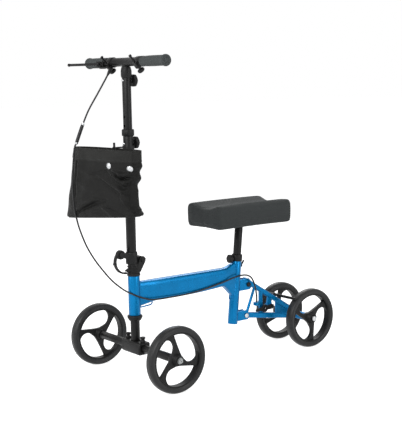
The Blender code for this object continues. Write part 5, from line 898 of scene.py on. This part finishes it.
# The cable's points, with Y measured from the steering axis
CABLE_ROUTE = (
    (-0.056, -0.0263, 0.8883), (-0.062, -0.0392, 0.8632), (-0.071, -0.0566, 0.8297),
    (-0.085, -0.0805, 0.7828), (-0.098, -0.0938, 0.7422), (-0.103, -0.1036, 0.714),
    (-0.106, -0.1124, 0.6895), (-0.108, -0.1173, 0.678), (-0.109, -0.122, 0.6468),
    (-0.108, -0.1261, 0.6176), (-0.106, -0.1296, 0.5866), (-0.101, -0.1332, 0.5467),
    (-0.094, -0.1337, 0.4992), (-0.09, -0.13, 0.4726), (-0.085, -0.1238, 0.4412),
    (-0.075, -0.1096, 0.394), (-0.062, -0.091, 0.3525), (-0.046, -0.0692, 0.315),
    (-0.032, -0.0528, 0.2901), (-0.014, -0.034, 0.2687), (0.001, -0.0235, 0.2589),
    (0.021, -0.0095, 0.2497), (0.0285, 0.0143, 0.2395), (0.0285, 0.046, 0.2308),
    (0.0245, 0.11, 0.228), (0.0235, 0.2, 0.23), (0.0245, 0.293, 0.243),
    (0.0255, 0.352, 0.255), (0.0255, 0.392, 0.258), (0.0245, 0.42, 0.248),
    (0.0225, 0.437, 0.222), (0.019, 0.447, 0.19), (0.0155, 0.451, 0.173),
    (0.0155, 0.451, 0.161),
)
CABLE_STEPS = 16
CABLE_RADIUS = 0.0025
SLEEVE_RADIUS = 0.0052
SLEEVE_ENDS = (4, 6)

# Each stretch's name and node, its first and last point, its bodies, and the span where it goes from one
# body to the other. A stretch with such a span rides no body and keeps its place. One without it rides its
# first body.
CABLE_PIECES = (
    ("cable_below_bar", "brake_cable_upper", 0, 4, ("bars", "mast"), (2, -3)),
    ("cable_boot", "cable_sleeve", 4, 6, ("mast",), None),
    ("cable_by_bag", "brake_cable_column", 6, 14, ("mast", "column"), (2, -3)),
    ("cable_by_hinge", "brake_cable_steering", 14, 19, ("column", "steering"), (2, -3)),
    ("cable_by_beam", "brake_cable_frame", 19, 33, ("steering", "frame"), (0, 2 * CABLE_STEPS)),
)


def sleeve_radii(count):
    """The thick rubber sleeve, with a rolled lip at each end."""
    radii = []
    for index in range(count):
        from_end = min(index, count - 1 - index)
        radii.append(SLEEVE_RADIUS * (1.0 if from_end == 1 or from_end > 3 else 0.93))
    return radii


def build_cables():
    """The casing in four stretches and the sleeve, with their fittings."""
    route = [Vector(point) + Vector((0.0, STEERING_Y, 0.0)) for point in CABLE_ROUTE]
    dense = smooth_route(route, CABLE_STEPS)
    for label, node, first, last, bodies, bend in CABLE_PIECES:
        points = dense[first * CABLE_STEPS:last * CABLE_STEPS + 1]
        radii = sleeve_radii(len(points)) if label == "cable_boot" else CABLE_RADIUS
        shape = bmesh.new()
        tube_along(shape, points, radii, 16)
        item = new_piece(label, shape, "cable_skin", None if bend else bodies[0])
        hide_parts(node)
        if bend:
            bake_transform(item)
    build_cable_fittings(dense)


def sleeve_on(shape, dense, index, before, after, radii):
    """A fitting along the cable round one of its points, with its radii from end to end."""
    centre = index * CABLE_STEPS
    points = dense[centre - before:centre + after + 1]
    spread = []
    for step in range(len(points)):
        place = step / (len(points) - 1) * (len(radii) - 1)
        low = min(int(place), len(radii) - 2)
        spread.append(mix(radii[low], radii[low + 1], place - low))
    tube_along(shape, points, spread, 20)


def build_cable_fittings(dense):
    """Bright ferrules at both ends of the sleeve, and the tapered boot where the cable leaves the lever."""
    upper, lower = SLEEVE_ENDS
    shape = bmesh.new()
    sleeve_on(shape, dense, upper, 2, 1, [0.004, 0.0046, 0.0046, 0.0054])
    sleeve_on(shape, dense, lower, 1, 4, [0.0054, 0.0046, 0.0044, 0.0044, 0.0034])
    new_piece("cable_ferrules", shape, "bright_steel", "mast")
    shape = bmesh.new()
    radii = [0.0047, 0.0047, 0.0042, 0.0038, 0.0035, 0.0032, 0.0028]
    tube_along(shape, dense[:len(radii)], radii, 20)
    new_piece("cable_boot_at_lever", shape, "cable_skin", "bars")


# Knee rest

PAD_WIDTH = 0.172
PAD_LENGTH = 0.286
PAD_EDGE_HEIGHT = 0.072
PAD_TROUGH_DEPTH = 0.014
PAD_TROUGH_POWER = 1.3
PAD_SIDE_BULGE = 0.0012
PAD_CORNER_RADIUS = 0.014
PAD_FOOT_RADIUS = 0.008
PAD_END_REACH = 0.012
PAD_END_DRAW = 0.04
PAD_END_POWER = 2.2
PAD_END_SHARE = 0.16
PAD_MIDDLE = Vector((0.0, 0.10718, 0.4168))
PAD_SWELL = 0.0014
PAD_VOXEL = 0.0045
PAD_SWELL_LIMIT = 0.003
PAD_SIDE_LIMIT = 0.002
PAD_UNDERSIDE = 0.0003
CROWN_STEPS = 40
CLOTH_FRAMES = 20
CLOTH = {
    "quality": 5,
    "mass": 0.3,
    "tension_stiffness": 18,
    "compression_stiffness": 12,
    "bending_stiffness": 1.2,
    "use_pressure": True,
    "uniform_pressure_force": 1.6,
}
SEAM_HEIGHT = 0.0085
SEAM_HALF_WIDTH = 0.0012
SEAM_DEPTH = 0.0011


def pad_section(inset):
    """The pad's section in X and Z: eased bottom edges, slightly full sides and a trough on top."""
    half = PAD_WIDTH / 2 - PAD_SIDE_BULGE - inset
    top = PAD_EDGE_HEIGHT - inset
    corner = PAD_CORNER_RADIUS
    foot = PAD_FOOT_RADIUS
    side = arc((half - foot, foot), foot, math.radians(-90), 0.0, 8)
    for share in (0.25, 0.45, 0.62):
        side.append((half + PAD_SIDE_BULGE * math.sin(math.pi * share), top * share))
    side += arc((half - corner, top - corner), corner, math.radians(4), math.radians(100), 14)
    crown = []
    for step in range(1, CROWN_STEPS):
        x = (half - corner) * (1 - 2 * step / CROWN_STEPS)
        depth = PAD_TROUGH_DEPTH + inset * 0.6
        crown.append((x, top - depth * math.cos(math.pi / 2 * x / (half - corner)) ** PAD_TROUGH_POWER))
    return side + crown + [(-x, z) for x, z in reversed(side)]


def pad_mesh(inset):
    """The section from end to end, drawn in a little at both ends."""
    half = PAD_LENGTH / 2 - inset
    near_end = [half * (1 - math.cos(math.pi / 2 * step / 10)) * PAD_END_SHARE for step in range(11)]
    inner = [mix(near_end[-1], half, step / 16) for step in range(1, 17)]
    stations = [-half + reach for reach in near_end + inner]
    stations += [-y for y in reversed(stations[:-1])]
    section = pad_section(inset)
    middle = PAD_EDGE_HEIGHT * 0.5
    shape = bmesh.new()
    rings = []
    for y in stations:
        to_end = min((half - abs(y)) / PAD_END_REACH, 1.0)
        draw = 1 - PAD_END_DRAW * (1 - to_end) ** PAD_END_POWER
        ring = []
        for x, z in section:
            height = middle + (z - middle) * draw if z > PAD_FOOT_RADIUS + 0.001 else z
            ring.append(shape.verts.new((x * draw, y, height)))
        rings.append(ring)
    cover(shape, rings, ends=True)
    return mesh_from(shape, "cushion")


def remodel(item, kind, **settings):
    """Puts a modifier on the object and makes its result the object's own mesh."""
    add_modifier(item, kind, **settings)
    mesh = evaluated_mesh(item)
    item.modifiers.clear()
    item.data = mesh


def inflate(item, cap):
    """Swells the piece as sewn cloth under pressure, and keeps each point within the cap of where it was."""
    start = np.array([vertex.co for vertex in item.data.vertices])
    cloth = item.modifiers.new("cloth", "CLOTH")
    for name, value in CLOTH.items():
        setattr(cloth.settings, name, value)
    cloth.settings.effector_weights.gravity = 0.0
    cloth.point_cache.frame_start = 1
    cloth.point_cache.frame_end = CLOTH_FRAMES
    scene = bpy.context.scene
    for number in range(1, CLOTH_FRAMES + 1):
        scene.frame_set(number)
    swollen = item.evaluated_get(bpy.context.evaluated_depsgraph_get())
    end = np.array([vertex.co for vertex in swollen.data.vertices])
    item.modifiers.clear()
    scene.frame_set(1)
    move = end - start
    length = np.linalg.norm(move, axis=1, keepdims=True)
    move *= np.minimum(1.0, cap / np.maximum(length, 1e-9))
    for vertex, place in zip(item.data.vertices, start + move):
        vertex.co = place


def sew(mesh):
    """Draws the sewn seam into the sides, and keeps the underside flat and the sides within their limit."""
    side_limit = PAD_WIDTH / 2 + PAD_SIDE_LIMIT
    for vertex in mesh.vertices:
        co = vertex.co
        if co.z < 0.0012:
            co.z = PAD_UNDERSIDE
        pull = SEAM_DEPTH * math.exp(-((co.z - SEAM_HEIGHT) / SEAM_HALF_WIDTH) ** 2)
        reach = Vector((co.x / PAD_WIDTH, co.y / PAD_LENGTH, 0.0))
        if max(abs(reach.x), abs(reach.y)) > 0.4:
            co -= reach.normalized() * pull
        co.x = max(min(co.x, side_limit), -side_limit)


def build_pad():
    """The cushion: swollen as cloth, flat underneath, with a sewn seam low on its sides."""
    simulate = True
    cushion = linked("knee_cushion", pad_mesh(PAD_SWELL if simulate else 0.0))
    remodel(cushion, "REMESH", mode="VOXEL", voxel_size=PAD_VOXEL)
    if simulate:
        inflate(cushion, PAD_SWELL_LIMIT)
    remodel(cushion, "SUBSURF", levels=1, render_levels=1)
    mesh = cushion.data
    sew(mesh)
    mesh.transform(Matrix.Translation(PAD_MIDDLE))
    mesh.materials.clear()
    mesh.materials.append(FINISHES["pad_cloth"])
    mesh.shade_smooth()
    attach(cushion, "seat")
    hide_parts("pad")


# Bag

# Each pair is the value at the bottom and the value at the top
BAG_HEIGHT = (0.4815, 0.674)
BAG_TILT = (0.073, -0.016)
BAG_MIDDLE_X = (-0.015, -0.0065)
BAG_MIDDLE_Y = (-0.08, -0.069)
BAG_HALF_X = (0.14, 0.1315)
BAG_HALF_Y = (0.031, 0.028)
BAG_SKEW = (0.21, 0.156)
BAG_CORNER_POWER = (2.8, 2.3)
BAG_NEAR_POWER = 3.8
BAG_FOOT_SHRINK = 0.005
BAG_FOOT_SHARE = 0.035
BAG_WALL = 0.0016
BAG_FLOOR_SHARE = 0.012
BAG_ROUND = 260
BAG_HIGH = 104
BAG_TRIM_ROUND = 220
BAG_SEAM_ANGLES = (math.radians(197), math.radians(343))
HEM_HEIGHT = 0.03
HEM_THICKNESS = 0.0014
HEM_ROWS = [0.82, 0.835, 0.84, 0.846, 0.85]
HEM_SEAM_SHARE = 0.856
STITCHES = 280
SNAPS = ((0.04, 0.6302), (0.113, 0.6236))

# How far the near end is drawn in at each share of the height
BAG_TUCKS = (
    (0.0, 0.006), (0.035, 0.001), (0.1, 0.011), (0.174, 0.019), (0.3, 0.019), (0.386, 0.018),
    (0.477, 0.022), (0.59, 0.008), (0.667, 0.013), (0.77, 0.001), (0.86, 0.006), (1.0, 0.006),
)

# Creases of the cloth on the front: X and Z of the start and of the end, width, and height or depth below 0
BAG_CREASES = (
    (0.06, 0.6175, 0.084, 0.6085, 0.0055, 0.006),
    (0.084, 0.6085, 0.13, 0.61, 0.0055, 0.0066),
    (0.064, 0.6065, 0.087, 0.597, 0.0046, -0.0074),
    (0.087, 0.597, 0.134, 0.5985, 0.0046, -0.008),
    (0.004, 0.602, 0.084, 0.565, 0.006, 0.0052),
    (0.084, 0.565, 0.112, 0.554, 0.006, 0.004),
    (0.0, 0.591, 0.074, 0.5545, 0.0055, -0.0046),
    (0.04, 0.615, 0.092, 0.5815, 0.0045, 0.0034),
    (0.026, 0.613, 0.084, 0.576, 0.004, -0.0034),
    (0.03, 0.618, -0.03, 0.606, 0.0045, -0.0026),
    (-0.074, 0.506, -0.015, 0.537, 0.009, 0.006),
    (-0.08, 0.495, -0.01, 0.527, 0.0048, -0.0076),
    (-0.01, 0.527, 0.024, 0.534, 0.005, -0.004),
    (-0.064, 0.492, 0.03, 0.518, 0.009, 0.004),
    (0.042, 0.51, 0.098, 0.493, 0.004, -0.0034),
    (0.024, 0.512, 0.062, 0.486, 0.004, 0.003),
    (0.09, 0.5925, 0.126, 0.58, 0.0032, 0.0034),
    (0.096, 0.573, 0.124, 0.59, 0.003, -0.0036),
    (0.088, 0.56, 0.118, 0.572, 0.0034, 0.0036),
    (0.1, 0.548, 0.116, 0.52, 0.004, -0.0034),
    (0.086, 0.544, 0.104, 0.516, 0.0045, 0.0028),
    (-0.102, 0.64, -0.104, 0.54, 0.004, -0.003),
    (-0.09, 0.58, -0.03, 0.564, 0.011, 0.0026),
    (-0.07, 0.612, -0.02, 0.598, 0.006, 0.0022),
)


def bag_tuck(share):
    for (low, first), (high, last) in neighbours(BAG_TUCKS):
        if share <= high:
            return mix(first, last, smooth_step((share - low) / (high - low)))
    return last


def crease_height(x, z):
    """How far the creases push the cloth out at a place on the front."""
    total = 0.0
    for ax, az, bx, bz, width, height in BAG_CREASES:
        run_x, run_z = bx - ax, bz - az
        length = math.hypot(run_x, run_z)
        share = ((x - ax) * run_x + (z - az) * run_z) / length ** 2
        off = ((x - ax) * run_z - (z - az) * run_x) / length
        beyond = max(0.0, -share, share - 1.0) * length
        total += height * math.exp(-(off / width) ** 2 - (beyond / (1.6 * width)) ** 2)
    return total


def cloth_wave(x, y, z):
    """Slow, uneven waves of slack cloth."""
    first = math.sin(34 * x + 21 * z + 2.0 * math.sin(19 * z))
    second = math.sin(57 * x - 38 * z + 1.7 * math.sin(26 * x + 40 * y))
    third = math.sin(95 * z + 30 * x + 1.3 * math.sin(50 * x))
    return 0.0012 * first + 0.0009 * second + 0.0006 * third


def bag_point(angle, share, inset=0.0):
    """A point of the bag's skin at an angle round it and a share of its height."""
    across, facing = math.cos(angle), math.sin(angle)
    power = BAG_NEAR_POWER if across > 0 else mix(*BAG_CORNER_POWER, share)
    shrink = BAG_FOOT_SHRINK * smooth_step(1 - share / BAG_FOOT_SHARE)
    half_x = mix(*BAG_HALF_X, share) - inset - shrink
    half_y = mix(*BAG_HALF_Y, share) - inset - shrink
    away = half_x * rounded(across, power)
    away -= bag_tuck(share) * smooth_step(away / half_x)
    x = mix(*BAG_MIDDLE_X, share) + away
    out = half_y * rounded(facing, power)
    y = mix(*BAG_MIDDLE_Y, share) + mix(*BAG_SKEW, share) * away + out
    low, high = (height + tilt * away for height, tilt in zip(BAG_HEIGHT, BAG_TILT))
    z = mix(low, high, share)
    slack = smooth_step(share / 0.1) * smooth_step((1 - share) / 0.16)
    hem_edge = 1 - HEM_HEIGHT / (high - low)
    push = cloth_wave(x, y, z) * slack
    if facing < 0:
        push += crease_height(x, z) * smooth_step(-facing * 1.6) * smooth_step((hem_edge - share) / 0.05)
    if share > hem_edge:
        push += HEM_THICKNESS
    outward = Vector((across * half_y, facing * half_x, 0.0)).normalized()
    return Vector((x, y + COLUMN_Y, z)) + outward * push


def build_bag():
    """The open bag: an outer and an inner skin joined at the hem, with piping, stitches and two snaps."""
    shape = bmesh.new()
    shares = sorted(set([step / BAG_HIGH for step in range(BAG_HIGH + 1)] + HEM_ROWS))
    angles = round_turn(BAG_ROUND, 0.5)
    outer, inner = [], []
    for share in shares:
        outer.append([shape.verts.new(bag_point(angle, share)) for angle in angles])
        lifted = max(share, BAG_FLOOR_SHARE)
        inner.append([shape.verts.new(bag_point(angle, lifted, BAG_WALL)) for angle in angles])
    for low, high in neighbours(outer) + neighbours(inner) + [(outer[-1], inner[-1])]:
        band(shape, low, high)
    shape.faces.new(outer[0])
    shape.faces.new(inner[0])
    bmesh.ops.recalc_face_normals(shape, faces=shape.faces)
    bag = new_piece("nylon_bag", shape, "bag_nylon", "column", math.radians(75))
    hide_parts("bag")
    build_bag_trim()
    for number, (x, z) in enumerate(SNAPS):
        build_snap(f"bag_snap_{number + 1}", x, z)


def build_bag_trim():
    """Piping round the bottom and rim, a seam down each front corner, and stitches round the hem."""
    shape = bmesh.new()
    angles = round_turn(BAG_TRIM_ROUND)
    tube_along(shape, [bag_point(angle, 0.022) for angle in angles], 0.0016, 10, True)
    tube_along(shape, [bag_point(angle, 1.0, BAG_WALL / 2) for angle in angles], 0.0013, 10, True)
    for corner in BAG_SEAM_ANGLES:
        tube_along(shape, [bag_point(corner, 0.02 + 0.97 * step / 60) for step in range(61)], 0.0011, 8)
    new_piece("bag_piping", shape, "bag_nylon", "column")
    shape = bmesh.new()
    seam = [bag_point(angle, HEM_SEAM_SHARE, -0.0004) for angle in round_turn(STITCHES)]
    for start, end in zip(seam[::2], seam[1::2]):
        tube_along(shape, [start, (start + end) / 2, end], [0.0002, 0.00045, 0.0002], 6)
    new_piece("bag_stitches", shape, "grip_foam", "column")


def bag_front(x, z):
    """The point of the bag's front at X and Z, with its outward direction."""
    bottom, top = BAG_HEIGHT
    share = (z - bottom) / (top - bottom)
    angles = [math.pi + math.pi * step / 500 for step in range(500)]
    angle = min(angles, key=lambda angle: abs(bag_point(angle, share).x - x))
    beside = bag_point(angle + 0.02, share) - bag_point(angle - 0.02, share)
    above = bag_point(angle, share + 0.01) - bag_point(angle, share - 0.01)
    outward = beside.cross(above).normalized()
    return bag_point(angle, share), outward if outward.y < 0 else -outward


def build_snap(name, x, z):
    """A domed snap with a ring round it."""
    place, outward = bag_front(x, z)
    shape = bmesh.new()
    dome = [
        (0.0086, -0.0012), (0.0089, 0.0004), (0.0082, 0.0014), (0.007, 0.0013), (0.0066, 0.0018),
        (0.0058, 0.003), (0.004, 0.0039), (0.0018, 0.0043), (0.0, 0.0044),
    ]
    turned(shape, dome, along(place + outward * 0.0004, outward), 40)
    new_piece(name, shape, "bright_steel", "column", math.radians(70))


make_finishes()
dress_nodes()
aim_camera()
build_stage()
build_wheels()
build_hub_nuts()
build_beam()
build_grips()
build_cables()
build_pad()
build_bag()
